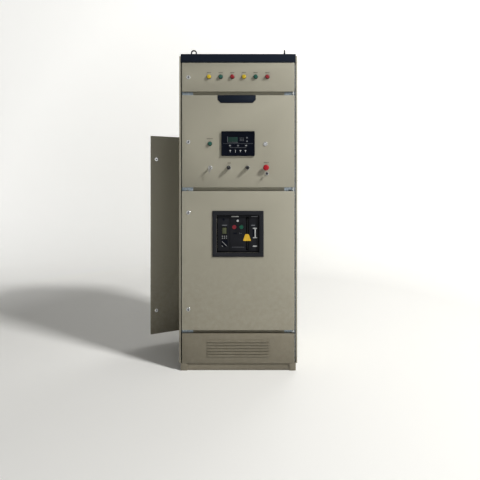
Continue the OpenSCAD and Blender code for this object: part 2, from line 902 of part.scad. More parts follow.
module roof_panel() {
    roof_w = cab_w + 2 * roof_over;
    roof_d = frame_y + rear_y - side_setback;
    color(grey) difference() {
        translate([-roof_w / 2, -frame_y, roof_z]) cube([roof_w, roof_d, roof_h]);
        translate([sheet - roof_w / 2, sheet - frame_y, roof_z - eps])
            cube([roof_w - 2 * sheet, roof_d - 2 * sheet, roof_h - sheet + eps]);
        for (side = [-1, 1], end = [-1, 1])
            translate([side * eye_x, end * eye_y, roof_z])
                cylinder(r = eye_stem_r + hole_play, h = roof_h + eps);
    }
}

// Header strip: a front sheet with end folds and a top flange that laps over the roof
module header_strip() {
    color(navy) translate([-cab_w / 2, front_y, header_z]) union() {
        cube([cab_w, sheet, header_h]);
        translate([0, 0, header_h - sheet]) cube([cab_w, fixed_depth + header_lap, sheet]);
        for (x = [0, cab_w - sheet]) translate([x, 0, 0]) cube([sheet, fixed_depth - 2 * sheet, header_h]);
    }
}

// One louvre hood: a quarter-round lip over its slot
module louvre_hood() {
    rotate([0, 90, 0]) linear_extrude(louvre_w, center = true) intersection() {
        circle(r = louvre_h);
        translate([-louvre_h, -louvre_out]) square([louvre_h, louvre_out]);
    }
}

module front_bottom_plate() {
    color(grey) difference() {
        union() {
            translate([-door_w / 2, front_y, plinth_h]) tray(door_w, fixed_depth, bottom_plate_h);
            for (i = [0 : louvre_n - 1])
                translate([0, front_y, plinth_h + louvre_z + i * louvre_pitch]) louvre_hood();
        }
        for (i = [0 : louvre_n - 1])
            translate([0, front_y, plinth_h + louvre_z + i * louvre_pitch])
                louvre_slot();
    }
}

// The air way under a hood, through the sheet
module louvre_slot() {
    translate([-louvre_w / 2 + sheet, sheet - louvre_out - eps, -eps])
        cube([louvre_w - 2 * sheet, louvre_out + 2 * eps, louvre_slot_h]);
}

module rear_upper_plate() {
    color(grey) to_end(1) translate([-door_w / 2, front_y, rear_plate_z])
        tray(door_w, fixed_depth, indicator_top - rear_plate_z);
}

// Lifting eye: a forged ring on a collar and a stem through the roof
module lifting_eye(turn) {
    union() {
        translate([0, 0, roof_z + roof_h]) cylinder(r = eye_collar_r, h = eye_collar_h);
        translate([0, 0, roof_z - eye_stem_len]) cylinder(r = eye_stem_r, h = roof_h + eye_stem_len + eps);
        translate([0, 0, eye_z]) rotate([0, 0, turn]) rotate([90, 0, 0]) difference() {
            rotate_extrude() intersection() {
                translate([eye_r, -eye_t / 2]) square([eye_wall, eye_t]);
                translate([eye_r + eye_wall - eye_round, 0]) circle(r = eye_round);
            }
            cylinder(r = eye_r, h = eye_t + 2 * eps, center = true);
        }
    }
}

module lifting_eyes() {
    color(charcoal) {
        translate([-eye_x, -eye_y, 0]) lifting_eye(0);
        translate([eye_x, -eye_y, 0]) lifting_eye(90);
        translate([-eye_x, eye_y, 0]) lifting_eye(90);
        translate([eye_x, eye_y, 0]) lifting_eye(0);
    }
}

// Bracket on the right post with a pivot pin for the door above it, below it, or both
module hinge_bracket(z, up, down) {
    reach = door_gap / 2 + bush_len - bracket_lap;
    translate([pivot_x - bush_r - bracket_lap, pivot_y - pivot_r, z - bracket_t / 2])
        cube([2 * bush_r + bracket_lap, pivot_r - frame_y - pivot_y, bracket_t]);
    if (up) translate([pivot_x, pivot_y, z]) {
        cylinder(r = pivot_r, h = reach);
        cylinder(r = (pivot_r + bush_r) / 2, h = door_gap / 2 - seat_gap);
    }
    if (down) translate([pivot_x, pivot_y, z - reach]) cylinder(r = pivot_r, h = reach);
}

module front_hinge_brackets() {
    top_z = indicator_top + header_gap + bracket_t;
    color(zinc) {
        hinge_bracket(gap_zs[0], true, false);
        hinge_bracket(gap_zs[1], true, true);
        hinge_bracket(gap_zs[2], true, true);
        hinge_bracket(top_z, false, true);
    }
}

// Fixed half of a rear hinge: a block on the side panel, a barrel and the pin
module rear_hinge_pin(z) {
    translate([rear_axis_x, rear_axis_y, z - knuckle_len]) {
        cylinder(r = barrel_hinge_r, h = knuckle_len - seat_gap);
        cylinder(r = rear_pin_r, h = 2 * knuckle_len - rear_pin_r);
    }
    translate([rear_axis_x - hinge_block_w / 2, rear_y - side_setback, z - knuckle_len])
        cube([hinge_block_w, rear_axis_y - rear_y + side_setback, knuckle_len - seat_gap]);
}

module rear_hinge_pins() {
    color(zinc) for (side = [-1, 1], z = rear_hinge_zs) to_side(side) rear_hinge_pin(z);
}

// Beams that carry the breaker: one along each side between the posts, two across
module breaker_beams() {
    side_len = -2 * beam_ys[0];
    side_z = beam_top - 2 * beam_h;
    color(zinc) union() {
        for (side = [-1, 1]) to_side(side)
            translate([cab_w / 2 - post_t - beam_h, -side_len / 2, side_z]) difference() {
                cube([beam_h, side_len, beam_h]);
                translate([-post_t, -eps, post_t])
                    cube([beam_h, side_len + 2 * eps, beam_h - 2 * post_t]);
            }
        for (y = beam_ys)
            translate([post_t - cab_w / 2, y, beam_top - beam_h]) difference() {
                cube([cab_w - 2 * post_t, beam_h, beam_h]);
                translate([-eps, post_t, -post_t]) cube([cab_w, beam_h - 2 * post_t, beam_h]);
            }
    }
}

module breaker_housing() {
    color(charcoal) union() {
        difference() {
            translate([window_x - face_w / 2, housing_y, face_low]) cube([face_w, breaker_d, face_h]);
            translate([slot_left, housing_y - eps, slot_low])
                cube([slot_w, slot_depth + eps, slot_top - slot_low]);
            for (side = [-1, 1])
                translate([window_x + button_mid + side * button_x, housing_y - eps, window_mid + button_z])
                    rotate([-90, 0, 0]) {
                        cylinder(r = button_r + button_gap, h = button_t + eps);
                        cylinder(r = stem_r + hole_play, h = button_t + stem_len + stem_travel);
                    }
        }
        translate([slot_left - eps, handle_y, handle_low]) rotate([0, 90, 0])
            cylinder(r = handle_pin_r, h = slot_w + 2 * eps);
    }
}

// Vented cover of one pole's arc chute, its underside at z = 0 and its back at y = 0
module arc_chute() {
    w = face_w / pole_n - chute_gap;
    difference() {
        translate([-w / 2, -chute_len, 0]) cube([w, chute_len, chute_t]);
        for (i = [0 : vent_n - 1])
            translate([vent_wall - w / 2, (i - (vent_n - 1) / 2) * vent_pitch - (chute_len + vent_w) / 2, -eps])
                cube([w - 2 * vent_wall, vent_w, chute_t + 2 * eps]);
    }
}

// Block behind the housing, with a barrier at each side of each pole
module terminal_block() {
    h = face_h - 2 * barrier_end;
    translate([window_x - face_w / 2, breaker_back, face_low + barrier_end]) union() {
        cube([face_w, back_t, h]);
        for (i = [0 : pole_n]) translate([i * (face_w - barrier_t) / pole_n, back_t - eps, 0])
            cube([barrier_t, barrier_out + eps, h]);
    }
}

// Foot at the breaker's right side, bolted to the beam that starts at y
module breaker_foot(y) {
    translate([face_w / 2, y, beam_top]) difference() {
        cube([foot_w, beam_h, foot_t]);
        translate([foot_w / 2, beam_h / 2, -eps]) cylinder(r = foot_hole_r, h = foot_t + 2 * eps);
    }
}

module breaker_fittings() {
    color(charcoal) {
        for (x = pole_xs) translate([x, breaker_back - chute_back, face_low + face_h]) arc_chute();
        terminal_block();
        translate([window_x, 0, 0]) for (side = [-1, 1], y = beam_ys) to_side(side) breaker_foot(y);
    }
}

// Terminal bars: an upper and a lower one for each pole, with two bolt holes each
module breaker_terminals() {
    color(copper) for (x = pole_xs, side = [-1, 1])
        translate([x, breaker_back + back_t, window_mid + side * terminal_z - terminal_t / 2]) difference() {
            translate([-terminal_w / 2, 0, 0]) cube([terminal_w, terminal_len, terminal_t]);
            for (end = [-1, 1])
                translate([end * (terminal_w / 2 - terminal_hole_in), terminal_len - terminal_hole_in, -eps])
                    cylinder(r = terminal_hole_r, h = terminal_t + 2 * eps);
        }
}

// Raised field of the face plate, its lower left corner at x and z
module field(x, z, w, h) {
    translate([x + w / 2, fascia_y + eps, z + h / 2]) rotate([90, 0, 0])
        linear_extrude(field_out + eps) round_rect(w, h, field_r);
}

// Face plate: raised fields at both sides of the handle's slot, and the holes of the buttons
module breaker_fascia() {
    mid_x = plate_x + field_edge;
    mid_w = slot_left - plate_x - 2 * field_edge;
    right_x = slot_left + slot_w + field_edge;
    low = face_low + field_edge;
    top = face_low + face_h - name_strip;
    color(charcoal) difference() {
        union() {
            translate([plate_x, fascia_y, face_low]) cube([plate_end - plate_x, fascia_t, face_h]);
            field(mid_x, top - name_h, mid_w, name_h);
            field(mid_x, window_mid - cover_drop - cover_h, mid_w, cover_h);
            field(mid_x, low, mid_w, foot_h);
            field(right_x, low, plate_end - field_edge - right_x, top - low);
        }
        translate([slot_left, fascia_y - eps, slot_low])
            cube([slot_w, fascia_t + 2 * eps, slot_top - slot_low]);
        for (side = [-1, 1])
            translate([window_x + button_mid + side * button_x, fascia_y - eps, window_mid + button_z])
                rotate([-90, 0, 0]) cylinder(r = button_r + button_gap, h = fascia_t + 2 * eps);
        translate([window_x + flag_x - flag_w / 2, fascia_y - field_out - eps,
            window_mid + flag_z - flag_h / 2])
            cube([flag_w, field_out + state_d + eps, flag_h]);
        translate([window_x - state_x - state_w / 2, fascia_y - eps, window_mid + state_z - state_h / 2])
            cube([state_w, state_d + eps, state_h]);
    }
}

// Trip unit: a framed display, three pairs of small keys and a sunk chart field
module breaker_trip_unit() {
    unit_y = fascia_y - trip_out;
    x = window_x - face_w / 2 + trip_w / 2 + display_x - display_w / 2;
    low = window_mid + display_z - display_h / 2;
    color("#2F3238") union() {
        difference() {
            union() {
                translate([window_x - face_w / 2, unit_y, face_low + trip_end])
                    cube([trip_w, fascia_t + trip_out, face_h - 2 * trip_end]);
                translate([x, unit_y - display_out, low]) cube([display_w, display_out + eps, display_h]);
            }
            translate([x + display_wall, unit_y - display_out - eps, low + display_wall])
                cube([
                    display_w - 2 * display_wall, display_out + display_d + eps, display_h - 2 * display_wall
                ]);
            translate([x, unit_y - eps, window_mid - chart_z - chart_h / 2])
                cube([display_w, chart_d + eps, chart_h]);
        }
        for (i = [-1 : 1], j = [-0.5, 0.5])
            translate([
                x + (display_w - trip_key_w) / 2 + i * trip_key_pitch, unit_y - trip_key_out,
                window_mid - trip_key_z + j * trip_key_pitch - trip_key_h / 2
            ])
                cube([trip_key_w, trip_key_out + eps, trip_key_h]);
    }
}

// Charging handle: a lever on a cross pin, lying in its slot, with a thin shank and a round-ended grip
module charging_handle() {
    x = window_x + slot_x - handle_w / 2;
    color("#17181A") difference() {
        union() {
            translate([x, handle_y - handle_d / 2, handle_low])
                cube([handle_w, handle_d, handle_len - handle_d / 2]);
            for (z = [handle_low, handle_low + handle_len - handle_d / 2])
                translate([x, handle_y, z]) rotate([0, 90, 0]) cylinder(r = handle_d / 2, h = handle_w);
        }
        translate([x - eps, handle_y + handle_d / 2 - shank_cut, handle_low + 1.5 * handle_d])
            cube([handle_w + 2 * eps, shank_cut + eps, handle_len - grip_len - 1.5 * handle_d]);
        translate([x - eps, handle_y, handle_low]) rotate([0, 90, 0])
            cylinder(r = handle_pin_r + pin_play, h = handle_w + 2 * eps);
    }
}

// Push button of the breaker: a flat head and its stem
module breaker_button(side) {
    translate([window_x + button_mid + side * button_x, fascia_y - button_out, window_mid + button_z])
        rotate([-90, 0, 0]) {
            cylinder(r = button_r, h = button_t);
            cylinder(r = stem_r, h = button_t + stem_len);
        }
}

module on_button() {
    color("#2E8B57") breaker_button(1);
}

module off_button() {
    color("#B3202A") breaker_button(-1);
}

// Door tray with a bush at each end of its pivot axis; its children are cut out
module front_door(z, h) {
    color(grey) difference() {
        union() {
            translate([-door_w / 2, front_y, z]) tray(door_w, door_depth, h);
            for (low = [z, z + h - bush_len])
                translate([pivot_x, pivot_y, low]) cylinder(r = bush_r, h = bush_len);
        }
        for (low = [z, z + h - bush_len])
            translate([pivot_x, pivot_y, low - eps])
                cylinder(r = pivot_r + pin_play, h = bush_len + 2 * eps);
        children();
    }
}

// Round hole through a door's sheet
module door_hole(x, z, r) {
    on_front(x, z) translate([0, 0, -sheet - eps]) cylinder(r = r, h = sheet + 2 * eps);
}

// Quarter-turn lock: a chamfered flange with a recess for the key, a barrel and a cam inside the tray
module lock() {
    front = seat_gap + lock_flange_t;
    difference() {
        union() {
            translate([0, 0, seat_gap]) cylinder(r = lock_flange_r, h = lock_flange_t - lock_chamfer);
            translate([0, 0, front - lock_chamfer])
                cylinder(r1 = lock_flange_r, r2 = lock_flange_r - lock_chamfer, h = lock_chamfer);
            translate([0, 0, -cam_back]) cylinder(r = lock_r, h = cam_back + front);
            translate([-cam_w / 2, -cam_len, -cam_back]) cube([cam_w, cam_len, cam_t]);
            translate([0, 0, -cam_back - cam_screw_t]) cylinder(r = cam_screw_r, h = cam_screw_t + eps);
        }
        translate([0, 0, front - lock_recess]) difference() {
            cylinder(r = lock_recess_r, h = lock_recess + eps);
            translate([-insert_w / 2, -insert_len / 2, -eps])
                cube([insert_w, insert_len, lock_recess - insert_back + eps]);
        }
    }
}

module lock_cut() {
    translate([0, 0, -sheet - eps]) cylinder(r = lock_r + pin_play, h = sheet + 2 * eps);
}

module indicator_door() {
    front_door(indicator_door_z, indicator_door_h) {
        for (x = lamp_xs) door_hole(x, indicator_door_z + lamp_z, barrel_r + hole_play);
        on_front(lock_x, front_lock_zs[0]) lock_cut();
    }
}

// Coloured lens: a rounded rim and a domed face
module lens() {
    intersection() {
        rotate_extrude() union() {
            square([lens_r - lens_round, lamp_out]);
            square([lens_r, lamp_out - lens_round]);
            translate([lens_r - lens_round, lamp_out - lens_round]) circle(r = lens_round);
        }
        translate([0, 0, lamp_out - lens_dome]) sphere(r = lens_dome);
    }
}

// Pilot lamp: a bezel, the lens, and a barrel with its nut behind the sheet
module lamp() {
    union() {
        cylinder(r = lamp_r, h = lamp_t);
        cylinder(r1 = lamp_r, r2 = lens_r, h = 2 * lamp_t);
        lens();
        translate([0, 0, -barrel_len]) cylinder(r = barrel_r, h = barrel_len + eps);
        translate([0, 0, -sheet - nut_t]) cylinder(r = (barrel_r + lamp_r) / 2, h = nut_t);
    }
}

module indicator_lamps() {
    color("#D8B12A") for (i = [0 : 3 : lamp_n - 1]) on_front(lamp_xs[i], indicator_door_z + lamp_z) lamp();
    color("#2E9B4F") for (i = [1 : 3 : lamp_n - 1]) on_front(lamp_xs[i], indicator_door_z + lamp_z) lamp();
    color("#C02A2A") for (i = [2 : 3 : lamp_n - 1]) on_front(lamp_xs[i], indicator_door_z + lamp_z) lamp();
}

module indicator_lock() {
    color(chrome) on_front(lock_x, front_lock_zs[0]) lock();
}

module control_door() {
    cut_w = controller_w - 2 * controller_lap;
    cut_h = controller_h - 2 * controller_lap;
    front_door(control_door_z, control_door_h) {
        translate([-cut_w / 2, front_y - eps, control_door_z + controller_z - cut_h / 2])
            cube([cut_w, sheet + 2 * eps, cut_h]);
        door_hole(-running_lamp_x, control_door_z + running_lamp_z, barrel_r + hole_play);
        for (p = switch_places) door_hole(p[0], control_door_z + p[1], barrel_r + hole_play);
        on_front(lock_x, front_lock_zs[1]) lock_cut();
    }
}

// Stiffeners inside a front door, at each side of its middle
module door_stiffeners(x, z, h) {
    color(grey) for (side = [-1, 1])
        translate([side * x, front_y + sheet, z + hat_end]) hat(h - 2 * hat_end);
}

module control_stiffeners() {
    door_stiffeners(control_hat_x, control_door_z, control_door_h);
}

module door_plaque() {
    top = control_door_z + control_door_h;
    color(navy) translate([plaque_x, front_y, top]) rotate([90, 0, 0]) linear_extrude(plaque_t)
        polygon([
            [-plaque_w / 2, 0], [-plaque_w / 2, plaque_cut - plaque_h],
            [plaque_cut - plaque_w / 2, -plaque_h], [plaque_w / 2 - plaque_cut, -plaque_h],
            [plaque_w / 2, plaque_cut - plaque_h], [plaque_w / 2, 0]
        ]);
}

module running_lamp() {
    color("#2E9B4F") on_front(-running_lamp_x, control_door_z + running_lamp_z) lamp();
}

// Generator controller: a front with a sunk film, a display window and keys, and a body with plugs
module controller() {
    body_w = controller_w - 2 * controller_lap - 2 * hole_play;
    body_h = controller_h - 2 * controller_lap - 2 * hole_play;
    film = controller_out - film_d;
    color(navy) on_front(0, control_door_z + controller_z) union() {
        difference() {
            linear_extrude(controller_out) round_rect(controller_w, controller_h, controller_r);
            translate([film_edge - controller_w / 2, film_edge - controller_h / 2, film])
                cube([controller_w - 2 * film_edge, controller_h - 2 * film_edge, film_d + eps]);
            translate([-lcd_x - lcd_w / 2, lcd_z - lcd_h / 2, film - lcd_d]) cube([lcd_w, lcd_h, lcd_d + eps]);
        }
        for (i = [-1 : 1]) translate([i * pad_pitch, -pad_z, film - eps])
            linear_extrude(pad_out + eps) round_rect(pad_w, pad_h, field_r);
        for (side = [-1, 1]) translate([dot_x, lcd_z + side * dot_gap, film - eps])
            cylinder(r = dot_r, h = pad_out + eps);
        translate([-body_w / 2, -body_h / 2, -controller_d]) cube([body_w, body_h, controller_d + eps]);
        for (i = [0 : plug_n - 1], side = [-1, 1])
            translate([
                (i - (plug_n - 1) / 2) * plug_pitch - plug_w / 2,
                side * (body_h / 2 - plug_in - plug_h / 2) - plug_h / 2, -controller_d - plug_out
            ])
                cube([plug_w, plug_h, plug_out + eps]);
    }
}

// Fixed part of a switch: the ring, the barrel through the door, the nut and the contact block
module switch_seat(r, bore) {
    difference() {
        union() {
            cylinder(r = r, h = ring_t - ring_chamfer);
            translate([0, 0, ring_t - ring_chamfer]) cylinder(r1 = r, r2 = r - ring_chamfer, h = ring_chamfer);
            translate([0, 0, -barrel_len]) cylinder(r = barrel_r, h = barrel_len + eps);
            translate([0, 0, -sheet - nut_t]) cylinder(r = (barrel_r + r) / 2, h = nut_t);
            translate([-block_w / 2, -block_w / 2, -barrel_len - block_d]) cube([block_w, block_w, block_d]);
        }
        translate([0, 0, -barrel_len]) cylinder(r = bore, h = barrel_len + ring_t + eps);
    }
}

module switch_rings() {
    color(chrome) {
        for (i = [0 : 2]) on_front(switch_places[i][0], control_door_z + switch_places[i][1])
            switch_seat(ring_r, shaft_r + pin_play);
        on_front(push_x, control_door_z + push_z) difference() {
            switch_seat(ring_r, shaft_r + pin_play);
            translate([0, 0, cap_foot - cap_travel])
                cylinder(r = cap_r + hole_play, h = cap_t + cap_travel);
        }
        on_front(-mode_key_x, control_door_z + switch_z) switch_seat(ring_r, plug_r + pin_play);
        on_front(reset_key_x, control_door_z + switch_z - reset_key_drop)
            switch_seat(small_ring_r, plug_r + pin_play);
    }
}

// Adjusting knob: a fluted grip with a pointer groove, on a skirt and a shaft
module knob() {
    foot = ring_t + knob_skirt;
    grip_r = knob_r - grip_in;
    end = ring_t + knob_len;
    difference() {
        union() {
            translate([0, 0, shaft_end - barrel_len]) cylinder(r = shaft_r, h = barrel_len + ring_t);
            translate([0, 0, ring_t + seat_gap]) cylinder(r = knob_r, h = knob_skirt);
            translate([0, 0, foot]) cylinder(r1 = grip_r, r2 = grip_r - grip_draft, h = knob_len - knob_skirt);
        }
        for (i = [0 : flute_n - 1]) rotate([0, 0, (i + 0.5) * 360 / flute_n])
            translate([grip_r, 0, foot + flute_foot]) cylinder(r = flute_r, h = knob_len);
        translate([-pointer_w / 2, pointer_w, end - pointer_w]) cube([pointer_w, knob_r, pointer_w + eps]);
    }
}

module left_knob() {
    color("#1B1C1E") on_front(-knob_x, control_door_z + switch_z) knob();
}

module right_knob() {
    color("#1B1C1E") on_front(knob_x, control_door_z + switch_z) knob();
}

// Mushroom head: rounded at both edges, with a domed face
module mushroom() {
    intersection() {
        rotate_extrude() union() {
            square([mushroom_r - mushroom_top, mushroom_t]);
            translate([0, mushroom_low]) square([mushroom_r, mushroom_t - mushroom_low - mushroom_top]);
            translate([mushroom_r - mushroom_top, mushroom_t - mushroom_top]) circle(r = mushroom_top);
            square([mushroom_r - mushroom_low, mushroom_t / 2]);
            translate([mushroom_r - mushroom_low, mushroom_low]) circle(r = mushroom_low);
        }
        translate([0, 0, mushroom_t - mushroom_dome]) sphere(r = mushroom_dome);
    }
}

module emergency_stop() {
    color("#C8202A") on_front(stop_x, control_door_z + switch_z) union() {
        translate([0, 0, 2 * shaft_end - barrel_len])
            cylinder(r = shaft_r, h = barrel_len + ring_t + mushroom_gap - shaft_end);
        translate([0, 0, ring_t + mushroom_gap]) mushroom();
    }
}

module push_button() {
    color(chrome) on_front(push_x, control_door_z + push_z) union() {
        translate([0, 0, cap_foot]) cylinder(r = cap_r, h = cap_t - ring_chamfer);
        translate([0, 0, cap_foot + cap_t - ring_chamfer])
            cylinder(r1 = cap_r, r2 = cap_r - ring_chamfer, h = ring_chamfer);
        translate([0, 0, 2 * shaft_end - barrel_len])
            cylinder(r = shaft_r, h = barrel_len - 2 * shaft_end + cap_foot + eps);
    }
}

// Key in its plug: a round plug, and a flat bow with a hole
module key() {
    bow_z = ring_t + key_len - bow_w / 2;
    difference() {
        union() {
            translate([0, 0, shaft_end - barrel_len])
                cylinder(r = plug_r, h = barrel_len + ring_t - shaft_end + plug_lip);
            translate([-key_t / 2, -key_shank / 2, ring_t]) cube([key_t, key_shank, key_len - bow_w / 2]);
            translate([-key_t / 2, 0, bow_z]) rotate([0, 90, 0]) cylinder(r = bow_w / 2, h = key_t);
        }
        translate([-key_t / 2 - eps, 0, bow_z + bow_hole_r]) rotate([0, 90, 0])
            cylinder(r = bow_hole_r, h = key_t + 2 * eps);
    }
}

module mode_key() {
    color(chrome) on_front(-mode_key_x, control_door_z + switch_z) key();
}

module reset_key() {
    color("#1B1C1E") on_front(reset_key_x, control_door_z + switch_z - reset_key_drop) key();
}

module control_lock() {
    color(chrome) on_front(lock_x, front_lock_zs[1]) lock();
}

module breaker_door() {
    front_door(breaker_door_z, breaker_door_h) {
        translate([window_x - window_w / 2, front_y - eps, window_mid - window_h / 2])
            cube([window_w, sheet + 2 * eps, window_h]);
        for (i = [2, 3]) on_front(lock_x, front_lock_zs[i]) lock_cut();
    }
}

module breaker_stiffeners() {
    door_stiffeners(breaker_hat_x, breaker_door_z, breaker_door_h);
}

// Bar along Y with both of its upper edges sloped
module sloped_bar(w, len) {
    rotate([90, 0, 0]) linear_extrude(len, center = true) polygon([
        [-w / 2, 0], [w / 2, 0], [w / 2, bezel_foot], [w / 2 - bezel_slope, bezel_out],
        [bezel_slope - w / 2, bezel_out], [-w / 2, bezel_foot]
    ]);
}

// Bezel: two crossed bars leave a plate with a mitred slope, which the window and its step open
module breaker_bezel() {
    outer_w = window_w + 2 * bezel_w;
    outer_h = window_h + 2 * bezel_w;
    step_w = window_w + 2 * bezel_step_w;
    step_h = window_h + 2 * bezel_step_w;
    color(charcoal) on_front(window_x, window_mid) difference() {
        intersection() {
            sloped_bar(outer_w, outer_h);
            rotate([0, 0, 90]) sloped_bar(outer_h, outer_w);
        }
        translate([-step_w / 2, -step_h / 2, bezel_out - bezel_step]) cube([step_w, step_h, bezel_step + eps]);
        translate([-window_w / 2, -window_h / 2, -eps]) cube([window_w, window_h, bezel_out + 2 * eps]);
    }
}

module breaker_upper_lock() {
    color(chrome) on_front(lock_x, front_lock_zs[2]) lock();
}

module breaker_lower_lock() {
    color(chrome) on_front(lock_x, front_lock_zs[3]) lock();
}

// Rear leaf as it hangs closed on the right, with its knuckles
module rear_leaf() {
    color(grey) difference() {
        union() {
            to_end(1) translate([leaf_gap / 2, front_y, rear_door_z])
                tray(leaf_w, door_depth, rear_door_h);
            for (z = rear_hinge_zs) translate([rear_axis_x, rear_axis_y, z]) {
                cylinder(r = barrel_hinge_r, h = knuckle_len);
                translate([-strap_w, -barrel_hinge_r, 0]) cube([strap_w, strap_t, knuckle_len]);
            }
        }
        for (z = rear_hinge_zs) translate([rear_axis_x, rear_axis_y, z - eps])
            cylinder(r = rear_pin_r + pin_play, h = knuckle_len + 2 * eps);
        for (z = rear_lock_zs) on_rear(rear_lock_x, z) lock_cut();
    }
}

// Swings the left leaf and its locks to the angle at which it stands open
module left_open() {
    translate([-rear_axis_x, rear_axis_y, 0]) rotate([0, 0, leaf_open])
        translate([rear_axis_x, -rear_axis_y, 0]) mirror([1, 0, 0]) children();
}

// Stiffener down the middle of a rear leaf
module leaf_stiffener() {
    color(grey) to_end(1) translate([(leaf_gap + leaf_w) / 2, front_y + sheet, rear_door_z + hat_end])
        hat(rear_door_h - 2 * hat_end);
}

module rear_left_leaf() {
    left_open() rear_leaf();
}

module rear_left_stiffener() {
    left_open() leaf_stiffener();
}

module rear_left_upper_lock() {
    color(chrome) left_open() on_rear(rear_lock_x, rear_lock_zs[0]) lock();
}

module rear_left_lower_lock() {
    color(chrome) left_open() on_rear(rear_lock_x, rear_lock_zs[1]) lock();
}

module rear_right_leaf() {
    rear_leaf();
}

module rear_right_stiffener() {
    leaf_stiffener();
}

module rear_right_upper_lock() {
    color(chrome) on_rear(rear_lock_x, rear_lock_zs[0]) lock();
}

module rear_right_lower_lock() {
    color(chrome) on_rear(rear_lock_x, rear_lock_zs[1]) lock();
}

base_frame();
floor_plate();
front_left_post();
front_right_post();
rear_left_post();
rear_right_post();
rear_centre_post();
top_frame();
front_cross_rails();
rear_cross_rails();
lock_keepers();
left_side_panel();
right_side_panel();
roof_panel();
header_strip();
front_bottom_plate();
rear_upper_plate();
lifting_eyes();
front_hinge_brackets();
rear_hinge_pins();
breaker_beams();
breaker_housing();
breaker_fascia();
breaker_trip_unit();
breaker_fittings();
breaker_terminals();
charging_handle();
on_button();
off_button();
indicator_door();
indicator_lamps();
indicator_lock();
control_door();
control_stiffeners();
door_plaque();
running_lamp();
controller();
switch_rings();
left_knob();
right_knob();
emergency_stop();
push_button();
mode_key();
reset_key();
control_lock();
breaker_door();
breaker_stiffeners();
breaker_bezel();
breaker_upper_lock();
breaker_lower_lock();
rear_left_leaf();
rear_left_stiffener();
rear_left_upper_lock();
rear_left_lower_lock();
rear_right_leaf();
rear_right_stiffener();
rear_right_upper_lock();
rear_right_lower_lock();
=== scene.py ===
# %% [markdown]
# # A low-voltage switchgear cabinet
# The real cabinet is a folded-steel frame with powder-coated doors, a generator controller, pilot devices and
# an air circuit breaker behind a window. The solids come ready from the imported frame. Here they get their
# rolled edges, finishes and small fittings. We start by loading them and noting the box that they fill.

# %% Load the frame
import contextlib
import math

import bmesh
import bpy
from mathutils import Matrix, Vector


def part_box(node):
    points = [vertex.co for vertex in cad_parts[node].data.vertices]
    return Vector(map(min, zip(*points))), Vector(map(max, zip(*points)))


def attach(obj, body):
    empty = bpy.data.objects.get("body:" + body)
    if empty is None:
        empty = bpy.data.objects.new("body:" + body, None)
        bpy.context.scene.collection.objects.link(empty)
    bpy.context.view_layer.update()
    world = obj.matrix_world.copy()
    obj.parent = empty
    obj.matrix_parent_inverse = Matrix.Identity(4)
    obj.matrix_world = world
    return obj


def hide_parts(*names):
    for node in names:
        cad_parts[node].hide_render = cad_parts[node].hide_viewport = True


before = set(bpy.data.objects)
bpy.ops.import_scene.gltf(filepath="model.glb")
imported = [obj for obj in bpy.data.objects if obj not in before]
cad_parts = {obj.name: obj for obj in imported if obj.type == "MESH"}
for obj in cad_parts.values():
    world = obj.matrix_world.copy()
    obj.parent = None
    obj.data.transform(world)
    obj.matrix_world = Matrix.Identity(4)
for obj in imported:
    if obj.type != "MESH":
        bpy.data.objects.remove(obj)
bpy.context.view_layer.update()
MM = 0.001

# %% [markdown]
# The picture was taken from the front, a little right of the middle, about chest high and some 2.7 m away.
# The picture plane stays parallel to the doors, so nothing converges, and a lens shift puts the cabinet where
# it stands in the picture. The frame is square, so both shifts are parts of its width.

# %% Camera
camera_data = bpy.data.cameras.new("camera")
camera_data.lens = 28.62
camera_data.sensor_width = 36
camera_data.shift_x = -0.106
camera_data.shift_y = -0.11
camera = bpy.data.objects.new("camera", camera_data)
camera.location = (0.366, -2.950, 1.274)
camera.rotation_euler = (math.radians(90), 0, 0)
bpy.context.scene.collection.objects.link(camera)
bpy.context.scene.camera = camera
print("camera at", tuple(round(c, 3) for c in camera.location))

# %% [markdown]
# Materials are built from nodes. One small function adds a node, sets what is a value and links what is a
# socket. Another turns the hex colours, which are as a screen shows them, to the linear values of a renderer.

# %% Helpers for materials
def linear(hex_colour):
    """Turns an sRGB hex colour into linear RGBA."""
    parts = [int(hex_colour[i:i + 2], 16) / 255 for i in (1, 3, 5)]
    return tuple(c / 12.92 if c <= 0.04045 else ((c + 0.055) / 1.055) ** 2.4 for c in parts) + (1.0,)


def add_node(tree, kind, inputs=None, **settings):
    """Adds a node; inputs are values or the sockets that feed them."""
    node = tree.nodes.new(kind)
    for key, value in settings.items():
        setattr(node, key, value)
    for key, value in (inputs or {}).items():
        if isinstance(value, bpy.types.NodeSocket):
            tree.links.new(value, node.inputs[key])
        else:
            node.inputs[key].default_value = value
    return node


def new_finish(name, colour, roughness, metallic=0.0, **more):
    """Starts a material and returns it with its tree, its shader and the object position."""
    finish = bpy.data.materials.new(name)
    finish.use_nodes = True
    tree = finish.node_tree
    shader = tree.nodes["Principled BSDF"]
    shader.inputs["Base Color"].default_value = linear(colour)
    shader.inputs["Roughness"].default_value = roughness
    shader.inputs["Metallic"].default_value = metallic
    for key, value in more.items():
        shader.inputs[key.replace("_", " ")].default_value = value
    place = add_node(tree, "ShaderNodeTexCoord").outputs["Object"]
    return finish, tree, shader, place


def per_mm(size):
    """Scale of a noise or cell pattern whose features are this many millimetres wide."""
    return 1000.0 / size


print("a mid grey as linear:", [round(c, 3) for c in linear("#808080")])
